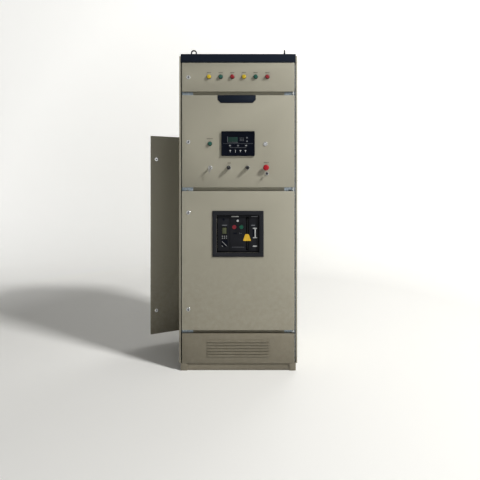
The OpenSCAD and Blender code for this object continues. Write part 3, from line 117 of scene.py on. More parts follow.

# %% [markdown]
# ** Powder coat.** Doors and panels are mild steel with a baked polyester powder, pebble grey. The powder
# melts into a fine orange peel about 2 mm across. Years of hands and dust leave slow changes in tone, and the
# plinth and the lower doors darken towards the floor, partly with dust and partly with painted shade. Three
# noises draw these: a large one for tone, one that fades upwards from the floor for the dust and painted
# shade, and a fine one for the orange peel as a bump.

# %% Powder coat
def powder_coat(name, colour, shade, dust_and_shade, specular=0.45):
    """Textured powder coat: two tones, dust and painted shade near the floor, and orange peel."""
    finish, tree, shader, place = new_finish(name, colour, 0.46, Specular_IOR_Level=specular)
    tone = add_node(tree, "ShaderNodeTexNoise", {"Vector": place, "Scale": per_mm(420), "Detail": 4.0})
    tones = add_node(tree, "ShaderNodeMix", {
        "Factor": tone.outputs["Fac"], 6: linear(colour), 7: linear(shade)}, data_type="RGBA")
    # Towards the floor a browner tone is mixed in, in specks: partly dust, partly painted shade
    height = add_node(tree, "ShaderNodeSeparateXYZ", {"Vector": place}).outputs["Z"]
    fade = add_node(tree, "ShaderNodeMapRange", {
        "Value": height, "From Min": 0.0, "From Max": 1.1, "To Min": 1.0, "To Max": 0.0},
        interpolation_type="SMOOTHSTEP")
    specks = add_node(tree, "ShaderNodeTexNoise", {
        "Vector": place, "Scale": per_mm(26), "Detail": 6.0, "Roughness": 0.65})
    dust_and_shade_mask = add_node(tree, "ShaderNodeMath", {
        0: fade.outputs["Result"], 1: specks.outputs["Fac"]}, operation="MULTIPLY")
    amount = add_node(tree, "ShaderNodeMath", {0: dust_and_shade_mask.outputs[0], 1: dust_and_shade}, operation="MULTIPLY")
    # 6E6553 is the brown of the dust and the painted shade near the floor
    coated = add_node(tree, "ShaderNodeMix", {
        "Factor": amount.outputs[0], 6: tones.outputs[2], 7: linear("#6E6553")}, data_type="RGBA")
    tree.links.new(coated.outputs[2], shader.inputs["Base Color"])
    gloss = add_node(tree, "ShaderNodeMapRange", {
        "Value": specks.outputs["Fac"], "To Min": 0.40, "To Max": 0.54})
    tree.links.new(gloss.outputs["Result"], shader.inputs["Roughness"])
    peel = add_node(tree, "ShaderNodeTexNoise", {"Vector": place, "Scale": per_mm(2.2), "Detail": 2.0})
    bump = add_node(tree, "ShaderNodeBump", {
        "Height": peel.outputs["Fac"], "Strength": 0.25, "Distance": 0.00012})
    tree.links.new(bump.outputs["Normal"], shader.inputs["Normal"])
    return finish


# Pebble grey: a warm, even satin, browner towards the floor with dust and painted shade
pebble_coat = powder_coat("pebble_grey_powder_coat", "#A6A292", "#9C9888", 0.75)
# The plinth: the same coat, a good deal darker, partly with dust and partly with painted shade
plinth_coat = powder_coat("dusty_shaded_plinth_powder_coat", "#8C8778", "#7E7969", 0.9)
# Navy: nearly black, with only a faint sheen, and no dust or painted shade
navy_coat = powder_coat("navy_satin_powder_coat", "#111926", "#0E1521", 0.0, 0.12)
print("powder coats:", pebble_coat.name, plinth_coat.name, navy_coat.name)

# %% [markdown]
# **Galvanised sheet.** Posts, rails and keepers are hot-dip galvanised. Zinc freezes in crystals, the
# spangle, some 8 mm wide, each with its own brightness. A cell pattern gives every crystal a tone and a
# roughness of its own. The bluish grey of clean zinc shows between the doors.

# %% Galvanised sheet
def galvanised(name, bright, dull, cell):
    """Zinc with spangle: a cell pattern changes tone and roughness from crystal to crystal."""
    finish, tree, shader, place = new_finish(name, bright, 0.42, 1.0)
    crystals = add_node(tree, "ShaderNodeTexVoronoi", {"Vector": place, "Scale": per_mm(cell)})
    one = add_node(tree, "ShaderNodeSeparateColor", {"Color": crystals.outputs["Color"]}).outputs["Red"]
    tones = add_node(tree, "ShaderNodeMix", {"Factor": one, 6: linear(bright), 7: linear(dull)},
                     data_type="RGBA")
    tree.links.new(tones.outputs[2], shader.inputs["Base Color"])
    gloss = add_node(tree, "ShaderNodeMapRange", {"Value": one, "To Min": 0.34, "To Max": 0.56})
    tree.links.new(gloss.outputs["Result"], shader.inputs["Roughness"])
    return finish


# Sheet: bluish flakes that glint one by one
zinc_sheet = galvanised("galvanised_sheet", "#A9B4BD", "#8A959E", 8)
# Plated screws: brighter and nearly even
zinc_screw = galvanised("zinc_plated_screw_steel", "#C2C4C2", "#A9ACAA", 2)
print("zinc finishes:", zinc_sheet.name, zinc_screw.name)

# %% [markdown]
# **Plated, forged, moulded and printed finishes.** Chrome, forged steel, moulded plastic, rubber, foam and
# screen print all are one base colour with a grain, so one function makes them, and each is mixed below where
# its first piece is made. The real grain of a mould is a tenth of a millimetre, too fine to show, so it is
# drawn about 1 mm wide. A slower noise, 30 mm wide, changes the gloss as finger marks do.

# %% Grained finishes
def grained(name, colour, shade, roughness, grain_mm, depth_mm, metallic=0.0, **more):
    """A finish with a fine grain: the noise changes tone, roughness and height together."""
    finish, tree, shader, place = new_finish(name, colour, roughness, metallic, **more)
    grain = add_node(tree, "ShaderNodeTexNoise", {"Vector": place, "Scale": per_mm(grain_mm), "Detail": 3.0})
    tones = add_node(tree, "ShaderNodeMix", {
        "Factor": grain.outputs["Fac"], 6: linear(colour), 7: linear(shade)}, data_type="RGBA")
    tree.links.new(tones.outputs[2], shader.inputs["Base Color"])
    worn = add_node(tree, "ShaderNodeTexNoise", {"Vector": place, "Scale": per_mm(30), "Detail": 3.0})
    gloss = add_node(tree, "ShaderNodeMapRange", {
        "Value": worn.outputs["Fac"], "To Min": roughness * 0.8, "To Max": roughness * 1.25})
    tree.links.new(gloss.outputs["Result"], shader.inputs["Roughness"])
    bump = add_node(tree, "ShaderNodeBump", {
        "Height": grain.outputs["Fac"], "Strength": 0.5, "Distance": depth_mm * MM})
    tree.links.new(bump.outputs["Normal"], shader.inputs["Normal"])
    return finish


def plastic(name, colour, shade, roughness, specular, grain_mm=1.0, depth_mm=0.02):
    """A grained plastic with its sheen turned down, because on a dark one the full sheen looks grey."""
    return grained(name, colour, shade, roughness, grain_mm, depth_mm, Specular_IOR_Level=specular)


print("grained and plastic finishes ready")

# %% [markdown]
# Modelling follows the same order every time: clear the selection, add a primitive at its size, shape it in
# edit mode, apply a modifier or two. These helpers hold the steps that repeat. An operator acts on all that
# is selected, so everything is deselected first. `pick_faces` and `pick_edges` then select by a test on place
# or normal, where by hand there would be a click with the mouse.

# %% Helpers for selecting
def only(piece):
    """Selects one piece and makes it active."""
    bpy.ops.object.select_all(action="DESELECT")
    piece.select_set(True)
    bpy.context.view_layer.objects.active = piece


@contextlib.contextmanager
def edit_mode(piece):
    """Edit mode on one piece, with all of it selected, and object mode again at the end."""
    only(piece)
    bpy.ops.object.mode_set(mode="EDIT")
    bpy.ops.mesh.select_all(action="SELECT")
    yield
    bpy.ops.object.mode_set(mode="OBJECT")


def pick(piece, kind, passes):
    """In edit mode, selects the faces or edges that pass the test, and counts them."""
    bpy.ops.mesh.select_mode(type=kind)
    bpy.ops.mesh.select_all(action="DESELECT")
    mesh = bmesh.from_edit_mesh(piece.data)
    mesh.normal_update()
    chosen = [part for part in (mesh.faces if kind == "FACE" else mesh.edges) if passes(part)]
    for part in chosen:
        part.select_set(True)
    bmesh.update_edit_mesh(piece.data)
    return len(chosen)


def pick_faces(piece, wanted):
    """Selects the faces whose middle and normal pass the test."""
    return pick(piece, "FACE", lambda face: wanted(face.calc_center_median(), face.normal))


def pick_edges(piece, wanted):
    """Selects the edges whose two ends pass the test."""
    return pick(piece, "EDGE", lambda edge: wanted(edge.verts[0].co, edge.verts[1].co))


print("helpers for selecting ready")

# %% [markdown]
# `added` starts a piece from a primitive and settles its place in its points. `applied` adds a modifier, sets
# it and applies it. `finished` gives the piece its finish and the body that it rides on, and hides the
# imported solids that it stands for.

# %% Helpers for adding and finishing
def added(name, add, stretch=None, **settings):
    """Adds a primitive with nothing else selected; its size and place go into its points."""
    bpy.ops.object.select_all(action="DESELECT")
    add(**settings)
    piece = bpy.context.object
    piece.name = name
    if stretch:
        # A new plane or grid pays no attention to the scale that it is given, so it is stretched here
        piece.scale = stretch
    bpy.ops.object.transform_apply(location=True, rotation=True, scale=True)
    return piece


def applied(piece, kind, **settings):
    """Adds a modifier, sets it and applies it."""
    only(piece)
    bpy.ops.object.modifier_add(type=kind)
    modifier = piece.modifiers[-1]
    for key, value in settings.items():
        setattr(modifier, key, value)
    bpy.ops.object.modifier_apply(modifier=modifier.name)
    return piece


def rounded(piece, width_mm, segments=2, angle=40):
    """Bevels every edge sharper than the angle."""
    return applied(piece, "BEVEL", width=width_mm * MM, segments=segments, limit_method="ANGLE",
                   angle_limit=math.radians(angle))


def smooth(piece, angle=35):
    """Shades smooth, keeping edges sharper than the angle crisp."""
    only(piece)
    bpy.ops.object.shade_smooth_by_angle(angle=math.radians(angle))
    return piece


def finished(piece, material, body, slot, *nodes):
    """Gives a piece its finish and says what it rides on and which solids it stands for."""
    piece.data.materials.clear()
    piece.data.materials.append(material)
    for face in piece.data.polygons:
        face.material_index = 0
    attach(piece, body)
    if nodes:
        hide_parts(*nodes)
    return piece


print("helpers for adding and finishing ready")

# %% [markdown]
# **Placing.** Devices are modelled once lying on their backs at the origin, with their axis up, and then
# stood on the face that carries them. A matrix does that, and it is applied to the mesh, so that every
# finished piece has its own place in its points.

# %% Helpers for placing
FRONT_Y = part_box("control_door")[0].y / MM
UPRIGHT = Matrix.Rotation(math.radians(90), 4, "X")


def shift(x, y, z):
    """A move in millimetres."""
    return Matrix.Translation(Vector((x, y, z)) * MM)


def facing_front(x, z, y=FRONT_Y):
    """Turns a piece that lies on its back to face the front, at x and z in millimetres."""
    return shift(x, y, z) @ UPRIGHT


def facing_rear(x, z, y=-FRONT_Y):
    """The same, to face the back."""
    return shift(x, y, z) @ (Matrix.Rotation(math.radians(180), 4, "Z") @ UPRIGHT)


def moved(piece, matrix):
    """Moves a piece in its points; a mirrored one is turned right side out again."""
    piece.data.transform(matrix)
    if matrix.determinant() < 0:
        piece.data.flip_normals()
    return piece


def placed(model, name, matrix):
    """A copy of a model with its own mesh, put in place."""
    copy = model.copy()
    copy.data = model.data.copy()
    copy.name = name
    bpy.context.scene.collection.objects.link(copy)
    return moved(copy, matrix)


def joined(name, pieces):
    """Joins pieces of one finish into one object."""
    only(pieces[0])
    for piece in pieces[1:]:
        piece.select_set(True)
    bpy.ops.object.join()
    whole = bpy.context.object
    whole.name = name
    return whole


def discard(*models):
    """Removes the models that were only copied from."""
    for model in models:
        bpy.data.objects.remove(model)


def repeated(name, model, places):
    """Copies of a model at several places, joined into one piece; the model itself goes."""
    copies = [placed(model, "copy", matrix) for matrix in places]
    discard(model)
    return joined(name, copies)


print("front face at", round(FRONT_Y), "mm")

# %% [markdown]
# Most fittings are turned or boxed. `turned` grows a round piece the way a lathe drawing reads: from a disc
# it extrudes upwards and resizes, step by step, each step being a height and a radius. `block` is a box with
# rounded edges; its upright edges may take a larger radius, as a moulded part's do.

# %% Turned pieces and blocks
def turned(name, steps, sides=40, round_mm=0.4):
    """A round piece from (height, radius) steps in millimetres, extruded from a disc."""
    height, radius = steps[0]
    piece = added(name, bpy.ops.mesh.primitive_circle_add, vertices=sides, radius=radius * MM,
                  fill_type="NGON", location=(0, 0, height * MM))
    with edit_mode(piece):
        for (low, inner), (high, outer) in zip(steps, steps[1:]):
            bpy.ops.mesh.extrude_region_move(TRANSFORM_OT_translate={"value": (0, 0, (high - low) * MM)})
            grow = outer / inner
            bpy.ops.transform.resize(value=(grow, grow, 1), center_override=(0, 0, high * MM))
        bpy.ops.mesh.select_all(action="SELECT")
        bpy.ops.mesh.normals_make_consistent(inside=False)
    if round_mm:
        rounded(piece, round_mm, 2, 30)
    return smooth(piece)


def block(name, low, high, round_mm=0.6, corner_mm=0.0):
    """A box between two corners in millimetres, with rounded edges and larger upright corners."""
    low, high = Vector(low) * MM, Vector(high) * MM
    piece = added(name, bpy.ops.mesh.primitive_cube_add, size=1, location=(low + high) / 2,
                  scale=high - low)
    if corner_mm:
        with edit_mode(piece):
            pick_edges(piece, lambda a, b: abs(a.x - b.x) + abs(a.y - b.y) < 1e-6)
            bpy.ops.mesh.bevel(offset=corner_mm * MM, segments=5, affect="EDGES")
    if round_mm:
        rounded(piece, round_mm, 2, 50)
    return smooth(piece)


print("turned and block ready")

# %% [markdown]
# ## Sheet metal
# Doors and panels are 2 mm sheet, cut, folded on a press brake and welded at the corners, so their outer
# edges have a fold radius of about the sheet's thickness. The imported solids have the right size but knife
# edges. We could shade the edges soft, but a real radius catches light from every side. So we copy the solid,
# merge its loose triangles, dissolve them into whole faces, and bevel only the edges on the tray's outline.

# %% Rolled edges for folded sheet
def solid_copy(node, name):
    """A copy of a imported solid, merged and with flat faces dissolved into whole ones."""
    piece = bpy.data.objects.new(name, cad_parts[node].data.copy())
    bpy.context.scene.collection.objects.link(piece)
    only(piece)
    bpy.ops.mesh.customdata_custom_splitnormals_clear()
    with edit_mode(piece):
        bpy.ops.mesh.remove_doubles(threshold=0.00001)
        bpy.ops.mesh.dissolve_limited(angle_limit=math.radians(0.5))
    return piece


def on_outline(point, low, high):
    """Which sides of a box a point lies on, as (axis, side) pairs."""
    near = 0.05 * MM
    return {(axis, side) for axis in range(3) for side, corner in enumerate((low, high))
            if abs(point[axis] - corner[axis]) < near}


def folded(node, name, open_side, box=None):
    """A folded tray: its outer edges are rolled, except round the side where the tray is open."""
    piece = solid_copy(node, name)
    low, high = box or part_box(node)

    def rolled(a, b):
        shared = on_outline(a, low, high) & on_outline(b, low, high)
        return len(shared) >= 2 and open_side not in shared

    with edit_mode(piece):
        count = pick_edges(piece, rolled)
        bpy.ops.mesh.bevel(offset=1.8 * MM, segments=3, affect="EDGES")
    print(f"{name}: {count} edges rolled, {len(piece.data.polygons)} faces")
    return smooth(piece, 30)


BACK, FRONT, LEFT, RIGHT, DOWN = (1, 1), (1, 0), (0, 0), (0, 1), (2, 0)
for node, name, open_side, coat, body, slot in (
        ("indicator_door", "top_door_skin", BACK, pebble_coat, "top_door", "panel_paint"),
        ("control_door", "middle_door_skin", BACK, pebble_coat, "middle_door", "panel_paint"),
        ("breaker_door", "bottom_door_skin", BACK, pebble_coat, "bottom_door", "panel_paint"),
        ("header_strip", "header_skin", BACK, navy_coat, "cabinet", "navy_paint"),
        ("rear_upper_plate", "rear_upper_skin", FRONT, pebble_coat, "cabinet", "panel_paint"),
        ("roof_panel", "roof_skin", DOWN, pebble_coat, "cabinet", "panel_paint"),
        ("left_side_panel", "left_side_skin", RIGHT, pebble_coat, "cabinet", "panel_paint"),
        ("right_side_panel", "right_side_skin", LEFT, pebble_coat, "cabinet", "panel_paint")):
    finished(folded(node, name, open_side), coat, body, slot, node)

# %% [markdown]
# The bottom plate is pressed with six louvres. Its hoods stand out of the tray, so the tray's own corners are
# given to the helper. The hoods then get a small radius all round, as pressed metal has.

# %% Louvred bottom plate
plate_low, plate_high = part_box("front_bottom_plate")
tray_low = Vector((plate_low.x, FRONT_Y * MM, plate_low.z))
louvre_plate = folded("front_bottom_plate", "louvred_plate_skin", BACK, (tray_low, plate_high))
with edit_mode(louvre_plate):
    hood_edges = pick_edges(louvre_plate, lambda a, b: min(a.y, b.y) < (FRONT_Y - 0.5) * MM
                            and max(a.y, b.y) < (FRONT_Y + 0.2) * MM and abs(a.x - b.x) > 0.1)
    bpy.ops.mesh.bevel(offset=0.3 * MM, segments=1, affect="EDGES")
finished(smooth(louvre_plate, 30), plinth_coat, "cabinet", "panel_paint", "front_bottom_plate")
print("hood edges softened:", hood_edges)

# %% [markdown]
# The two rear leaves are one design. The right one is finished closed, and the left one is a mirrored copy
# turned about its hinge to where it stands open. Mirroring turns a mesh inside out, and `moved` turns it
# back. The same matrix later carries what is fixed to that leaf.

# %% Rear leaves
HINGE_X, HINGE_Y, LEAF_OPEN = 404, 306, 205
LEAF_LEFT, LEAF_RIGHT, LEAF_INSIDE, LEAF_FACE = 3, 394, 280, 300
leaf_low, leaf_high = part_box("rear_right_leaf")
leaf_box = (Vector((LEAF_LEFT * MM, LEAF_INSIDE * MM, leaf_low.z)),
            Vector((LEAF_RIGHT * MM, LEAF_FACE * MM, leaf_high.z)))
right_leaf = folded("rear_right_leaf", "rear_right_leaf_skin", FRONT, leaf_box)
mirror_x = Matrix.Scale(-1, 4, Vector((1, 0, 0)))
leaf_swing = Matrix.Rotation(math.radians(LEAF_OPEN), 4, "Z")
on_left_leaf = shift(-HINGE_X, HINGE_Y, 0) @ leaf_swing @ shift(HINGE_X, -HINGE_Y, 0) @ mirror_x
left_leaf = placed(right_leaf, "rear_left_leaf_skin", on_left_leaf)
finished(smooth(left_leaf, 30), pebble_coat, "rear_left_door", "panel_paint", "rear_left_leaf")
finished(right_leaf, pebble_coat, "rear_right_door", "panel_paint", "rear_right_leaf")
print("rear leaves finished")

# %% [markdown]
# ## Frame
# The base frame is 4 mm channel with cast corner pieces. It is welded, so its edges are only broken with a
# file: a bevel on all sharp edges does that at once. Four bolt heads show inside it.

# %% Base frame
def skinned(node, name, material, body, slot, round_mm, angle=50):
    """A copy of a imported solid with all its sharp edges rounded, finished and standing for that solid."""
    piece = smooth(rounded(solid_copy(node, name), round_mm, 2, angle))
    return finished(piece, material, body, slot, node)


skinned("base_frame", "base_frame_skin", plinth_coat, "cabinet", "panel_paint", 1.0)
anchor = joined("anchor", [turned("washer", [(0, 12), (2, 12)], 32, 0.3),
                           turned("bolt_head", [(2, 9.5), (10, 9.5)], 6, 0.6)])
ANCHOR_X, ANCHOR_Y, CHANNEL_STEEL = 300, 266, 4
anchors = repeated("anchor_bolts", anchor, [
    shift(x, y, CHANNEL_STEEL) for x in (-ANCHOR_X, ANCHOR_X) for y in (-ANCHOR_Y, ANCHOR_Y)])
finished(anchors, zinc_screw, "cabinet", "zinc")
print("base frame and anchor bolts done")

# %% [markdown]
# **Perforated posts.** The posts are roll-formed from punched strip: small holes on a close pitch, with a
# larger fixing hole in the middle column every 100 mm. Between the doors they show as a line of dots. A
# boolean with hundreds of cylinders would be slow, so the strip is made the way it looks: a grid whose cells
# are inset, cut to octagons and taken out, and then given its thickness by Solidify. The holes are then real,
# with the dark inside of the post behind them.

# %% Punched strip
POST_LOW, POST_HIGH = (corner.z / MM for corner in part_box("front_left_post"))
POST_WIDE, POST_DEEP, POST_STEEL, ROW = 80, 70, 2.5, 12.5


def punched_strip(name, width_mm, across, hole_mm, fixing_mm):
    """A punched strip as tall as a post, facing up, with its middle column on x = 0."""
    rows = round((POST_HIGH - POST_LOW) / ROW) + 1
    cell = width_mm / across
    strip = added(name, bpy.ops.mesh.primitive_grid_add, (width_mm * MM, rows * ROW * MM, 1), size=1,
                  x_subdivisions=across, y_subdivisions=rows,
                  location=(0, (POST_LOW + (rows - 1) * ROW / 2) * MM, 0))

    def row_of(centre):
        return (centre.y / MM - POST_LOW) / ROW

    def fixing(centre):
        return abs(centre.x) < cell / 3 * MM and abs(row_of(centre) % 8) < 0.3 and row_of(centre) > 4

    def small(centre):
        return abs(row_of(centre) % 2) < 0.3 and 1 < row_of(centre) < rows - 2 and not fixing(centre)

    with edit_mode(strip):
        # The outermost rows are drawn in to the ends of the post
        for limit, side in ((POST_LOW, -1), (POST_HIGH, 1)):
            pick_edges(strip, lambda a, b: min(a.y * side, b.y * side) > limit * side * MM)
            bpy.ops.transform.resize(value=(1, 0, 1), center_override=(0, limit * MM, 0))
        for wanted, size in ((fixing, fixing_mm), (small, hole_mm)):
            if not size:
                continue
            pick_faces(strip, lambda centre, normal: wanted(centre))
            bpy.ops.mesh.inset(thickness=(cell - size) / 2 * MM, use_individual=True)
            bpy.ops.mesh.select_mode(type="VERT")
            bpy.ops.mesh.bevel(offset=size * 0.29 * MM, affect="VERTICES")
            bpy.ops.mesh.select_mode(type="FACE")
            bpy.ops.mesh.select_face_by_sides(number=8, type="EQUAL", extend=False)
            bpy.ops.mesh.delete(type="FACE")
    return applied(strip, "SOLIDIFY", thickness=POST_STEEL * MM, offset=-1)


front_strip = punched_strip("front_strip", POST_WIDE, 7, 5.0, 9.0)
side_strip = punched_strip("side_strip", POST_DEEP, 5, 5.0, 0)
print("strips:", len(front_strip.data.polygons), "and", len(side_strip.data.polygons), "faces")

# %% [markdown]
# One post is a punched front, a punched side and two lips. It is built as the front right one. The other
# three are mirrored copies, left to right, front to back, or both.

# %% Four posts
POST_X, POST_Y, LIP = 400, -272, 15


def facing_right(y, z, x=POST_X):
    """Turns a piece that lies on its back to face right."""
    return shift(x, y, z) @ (Matrix.Rotation(math.radians(90), 4, "Z") @ UPRIGHT)


INNER_X, INNER_Y = POST_X - POST_WIDE, POST_Y + POST_DEEP
post_model = joined("post_model", [
    moved(front_strip, facing_front(POST_X - POST_WIDE / 2, 0, POST_Y)),
    moved(side_strip, facing_right(POST_Y + POST_DEEP / 2, 0)),
    block("post_lip", (INNER_X, POST_Y + POST_STEEL, POST_LOW),
          (INNER_X + POST_STEEL, POST_Y + LIP, POST_HIGH), 0.4),
    block("post_lip", (POST_X - LIP, INNER_Y - POST_STEEL, POST_LOW),
          (POST_X - POST_STEEL, INNER_Y, POST_HIGH), 0.4)])
mirror_y = Matrix.Scale(-1, 4, Vector((0, 1, 0)))
for node, matrix in (("front_right_post", Matrix.Identity(4)), ("front_left_post", mirror_x),
                     ("rear_right_post", mirror_y), ("rear_left_post", mirror_x @ mirror_y)):
    finished(placed(post_model, node + "_punched", matrix), zinc_sheet, "cabinet", "zinc", node)
discard(post_model)
print("four posts placed")

# %% [markdown]
# The rails, the centre post, the keepers and the hinges are right as they come. The front rails are painted
# with the doors, and the rest is zinc, so they only take a finish. The visible rails and the stiffening
# profiles inside the doors get broken edges.

# %% Rails and other steel
def refinish(material, *nodes):
    """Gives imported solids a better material."""
    for node in nodes:
        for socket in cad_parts[node].material_slots:
            socket.material = material


skinned("front_cross_rails", "front_rails_skin", pebble_coat, "cabinet", "panel_paint", 0.8)
skinned("rear_centre_post", "rear_centre_post_skin", zinc_sheet, "cabinet", "zinc", 0.8)
for name, body in (("control_stiffeners", "middle_door"), ("breaker_stiffeners", "bottom_door"),
                   ("rear_left_stiffener", "rear_left_door"), ("rear_right_stiffener", "rear_right_door")):
    skinned(name, name + "_skin", pebble_coat, body, "panel_paint", 0.6)
refinish(zinc_sheet, "floor_plate", "top_frame", "rear_cross_rails", "lock_keepers", "breaker_beams")
refinish(zinc_screw, "front_hinge_brackets", "rear_hinge_pins")
print("rails and steel finished")

# %% [markdown]
# **Lifting eyes.** A ring eye is drop-forged in one piece: a round section ring that flows into its collar
# with generous fillets. A torus and a turned collar give the two masses, a voxel remesh melts them together
# and a smoothing pass draws the fillet, much as clay would be worked. Two eyes face the front, and two face
# the side.

# %% Lifting eyes
ROOF_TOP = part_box("roof_panel")[1].z / MM
RING_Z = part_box("lifting_eyes")[1].z / MM - 22
# Black paint over scale: a satin black that keeps the pits of the forging
forged_black = grained("black_painted_forged_steel", "#191A1D", "#242529", 0.42, 3, 0.25)
ring = added("eye_ring", bpy.ops.mesh.primitive_torus_add, major_radius=17.2 * MM, minor_radius=5.1 * MM,
             major_segments=64, minor_segments=24, location=(0, 0, RING_Z * MM),
             rotation=(math.radians(90), 0, 0))
with edit_mode(ring):
    bpy.ops.transform.resize(value=(1, 1.06, 1), center_override=(0, 0, RING_Z * MM))
collar = turned("collar", [(ROOF_TOP, 14), (ROOF_TOP + 3.5, 14), (ROOF_TOP + 5.5, 11),
                           (ROOF_TOP + 9.5, 6.5)], 48, 0.6)
eye_model = applied(joined("eye_model", [ring, collar]), "REMESH", mode="VOXEL", voxel_size=0.7 * MM)
applied(eye_model, "SMOOTH", factor=0.5, iterations=5)
EYE_X, EYE_Y = 321, 245
eyes = repeated("lifting_eyes_forged", eye_model, [
    shift(side * EYE_X, end * EYE_Y, 0) @ Matrix.Rotation(math.radians(turn), 4, "Z")
    for side, end, turn in ((-1, -1, 0), (1, -1, 90), (-1, 1, 90), (1, 1, 0))])
finished(smooth(eyes, 180), forged_black, "cabinet", "forged_steel", "lifting_eyes")
print("eyes:", len(eyes.data.polygons), "faces")

# %% [markdown]
# ## Door furniture
# ** Quarter-turn locks.** A chromed die-cast housing with a rolled rim and a recess, and in it the upright bar
# that the key fits over. The bar and a disc at the bottom of the recess are black: painted shade in the
# recess. Behind the sheet sit the nut and the cam. The lock is turned from a disc in steps, outwards for the
# flange and inwards again for the recess. The bar and the disc are a separate piece, for their finish
# differs.

# %% Lock models
# Chrome plate: nearly a mirror, dulled in places by fingers
chrome_plate = grained("polished_chrome_plate", "#C3C4C4", "#B6B8B9", 0.14, 12, 0.01, 1.0)
# Black polyamide: a soft, even sheen
black_mould = plastic("black_moulded_polyamide", "#111214", "#17181B", 0.38, 0.2, 0.8, 0.03)
lock_steps = [(-17, 9.9), (0.3, 9.9), (0.3, 14), (1.2, 14), (2.3, 12.9), (2.3, 9.2), (1.4, 8.4), (-7, 8.0)]
lock_model = joined("lock_model", [
    turned("lock_body", lock_steps, 48, 0.25), turned("lock_nut", [(-8, 13.5), (-2.4, 13.5)], 6, 0.6),
    block("lock_cam", (-7, -29, -20), (7, 8, -17), 0.5, 5.0),
    turned("cam_screw", [(-22.2, 1.2), (-22.2, 4.5), (-20.6, 5.4), (-19.8, 5.4)], 24, 0.2)])
# The black disc and the black bar paint the shade at the bottom of the recess; the bar is the key's bar
lock_insert = joined("lock_insert", [turned("recess_shade_disc", [(-7, 7.9), (-6.2, 7.9)], 40, 0.2),
                                     block("insert_bar", (-2.5, -6.5, -6.4), (2.5, 6.5, 1.3), 0.5)])
print("lock model:", len(lock_model.data.polygons), "faces")

# %% [markdown]
# Each lock rides on a body of its own, so that its cam can turn. The open leaf carries its two locks with it:
# the same models, mirrored and swung with the leaf.

# %% Eight locks
LOCK_X, LEAF_LOCK_X = -346.5, 48
upper_lock, lower_lock = facing_rear(LEAF_LOCK_X, 1501), facing_rear(LEAF_LOCK_X, 270)
for node, body, matrix in (
        ("indicator_lock", "top_door_lock", facing_front(LOCK_X, 2037)),
        ("control_lock", "middle_door_lock", facing_front(LOCK_X, 1588)),
        ("breaker_upper_lock", "bottom_door_upper_lock", facing_front(LOCK_X, 1098)),
        ("breaker_lower_lock", "bottom_door_lower_lock", facing_front(LOCK_X, 425)),
        ("rear_right_upper_lock", "rear_right_lock_up", upper_lock),
        ("rear_right_lower_lock", "rear_right_lock_low", lower_lock),
        ("rear_left_upper_lock", "rear_left_lock_up", on_left_leaf @ upper_lock),
        ("rear_left_lower_lock", "rear_left_lock_low", on_left_leaf @ lower_lock)):
    finished(placed(lock_model, node + "_case", matrix), chrome_plate, body, "chrome", node)
    # The black bar and disc: painted shade in the lock's recess
    finished(placed(lock_insert, node + "_insert", matrix), black_mould, body, "black_plastic")
    print(node, "placed")
discard(lock_model, lock_insert)

# %% [markdown]
# **Lamp lenses.** A pilot lens is clear coloured polycarbonate with ribs inside it, so an unlit one looks
# deep and glossy at once. A little transmission under a smooth surface gives that depth. The ribs are a wave
# pattern; the wave node repeats every pi / 10 of a unit, so its scale is worked out from that.

# %% Lamp lenses
def wave_scale(size):
    """Scale of a wave pattern that repeats after this many millimetres."""
    return per_mm(size) * math.pi / 10


def lens_plastic(name, colour):
    """Clear coloured polycarbonate over a ribbed inside."""
    finish, tree, shader, place = new_finish(
        name, colour, 0.16, Transmission_Weight=0.12, IOR=1.58, Specular_IOR_Level=0.25, Coat_Weight=0.15)
    ribs = add_node(tree, "ShaderNodeTexWave", {"Vector": place, "Scale": wave_scale(2)}, bands_direction="X")
    bump = add_node(tree, "ShaderNodeBump", {
        "Height": ribs.outputs["Fac"], "Strength": 0.25, "Distance": 0.0002})
    tree.links.new(bump.outputs["Normal"], shader.inputs["Normal"])
    return finish


lens_colours = {colour: lens_plastic(colour + "_polycarbonate_lens", shade)
                for colour, shade in (("yellow", "#D2B424"), ("green", "#0A5244"), ("red", "#8E0C1A"))}
print("lenses:", sorted(lens_colours))

# %% [markdown]
# **Pilot lamps.** A 22 mm pilot lamp is a dark bezel ring with a coloured lens snapped into it, a threaded
# barrel through the door and a nut behind. The lens is a short cylinder with a rolled shoulder and a gently
# domed face. Yellow, green and red follow each other twice. The same lamp in green shows that the set runs.

# %% Lamps
LAMP_Z, LAMP_PITCH = 2041, 81
lamp_xs = [(i - 2.5) * LAMP_PITCH for i in range(6)]
lamp_case = joined("lamp_case", [
    turned("lamp_bezel", [(-40, 10.9), (-2.2, 10.9), (0.1, 10.9), (0.1, 16), (2.0, 16), (3.4, 15.2),
                          (3.8, 14.9), (3.2, 14.5)], 48, 0.3),
    turned("lamp_nut", [(-7, 13.2), (-2.2, 13.2)], 6, 0.6)])
lamp_lens = turned("lamp_lens", [(2.6, 14.6), (8.0, 14.2), (10.2, 13.5), (11.7, 12.0), (12.5, 9.4),
                                 (12.9, 6.0), (13.0, 2.0)], 48, 0.3)
cases = []
for i, (x, colour) in enumerate(zip(lamp_xs, ["yellow", "green", "red"] * 2)):
    cases.append(placed(lamp_case, "case", facing_front(x, LAMP_Z)))
    lens = placed(lamp_lens, f"{colour}_lens_{i + 1}", facing_front(x, LAMP_Z))
    finished(lens, lens_colours[colour], "top_door", "lamp_lens")
row_of_cases = joined("indicator_lamp_bezels", cases)
finished(row_of_cases, black_mould, "top_door", "black_plastic", "indicator_lamps")
RUN_X, RUN_Z = -196, 1576
run_case = placed(lamp_case, "running_lamp_bezel", facing_front(RUN_X, RUN_Z))
finished(run_case, black_mould, "middle_door", "black_plastic", "running_lamp")
run_lens = placed(lamp_lens, "running_lamp_lens", facing_front(RUN_X, RUN_Z))
finished(run_lens, lens_colours["green"], "middle_door", "green_plastic")
discard(lamp_case, lamp_lens)
print("lamps at", lamp_xs, "and", RUN_X)

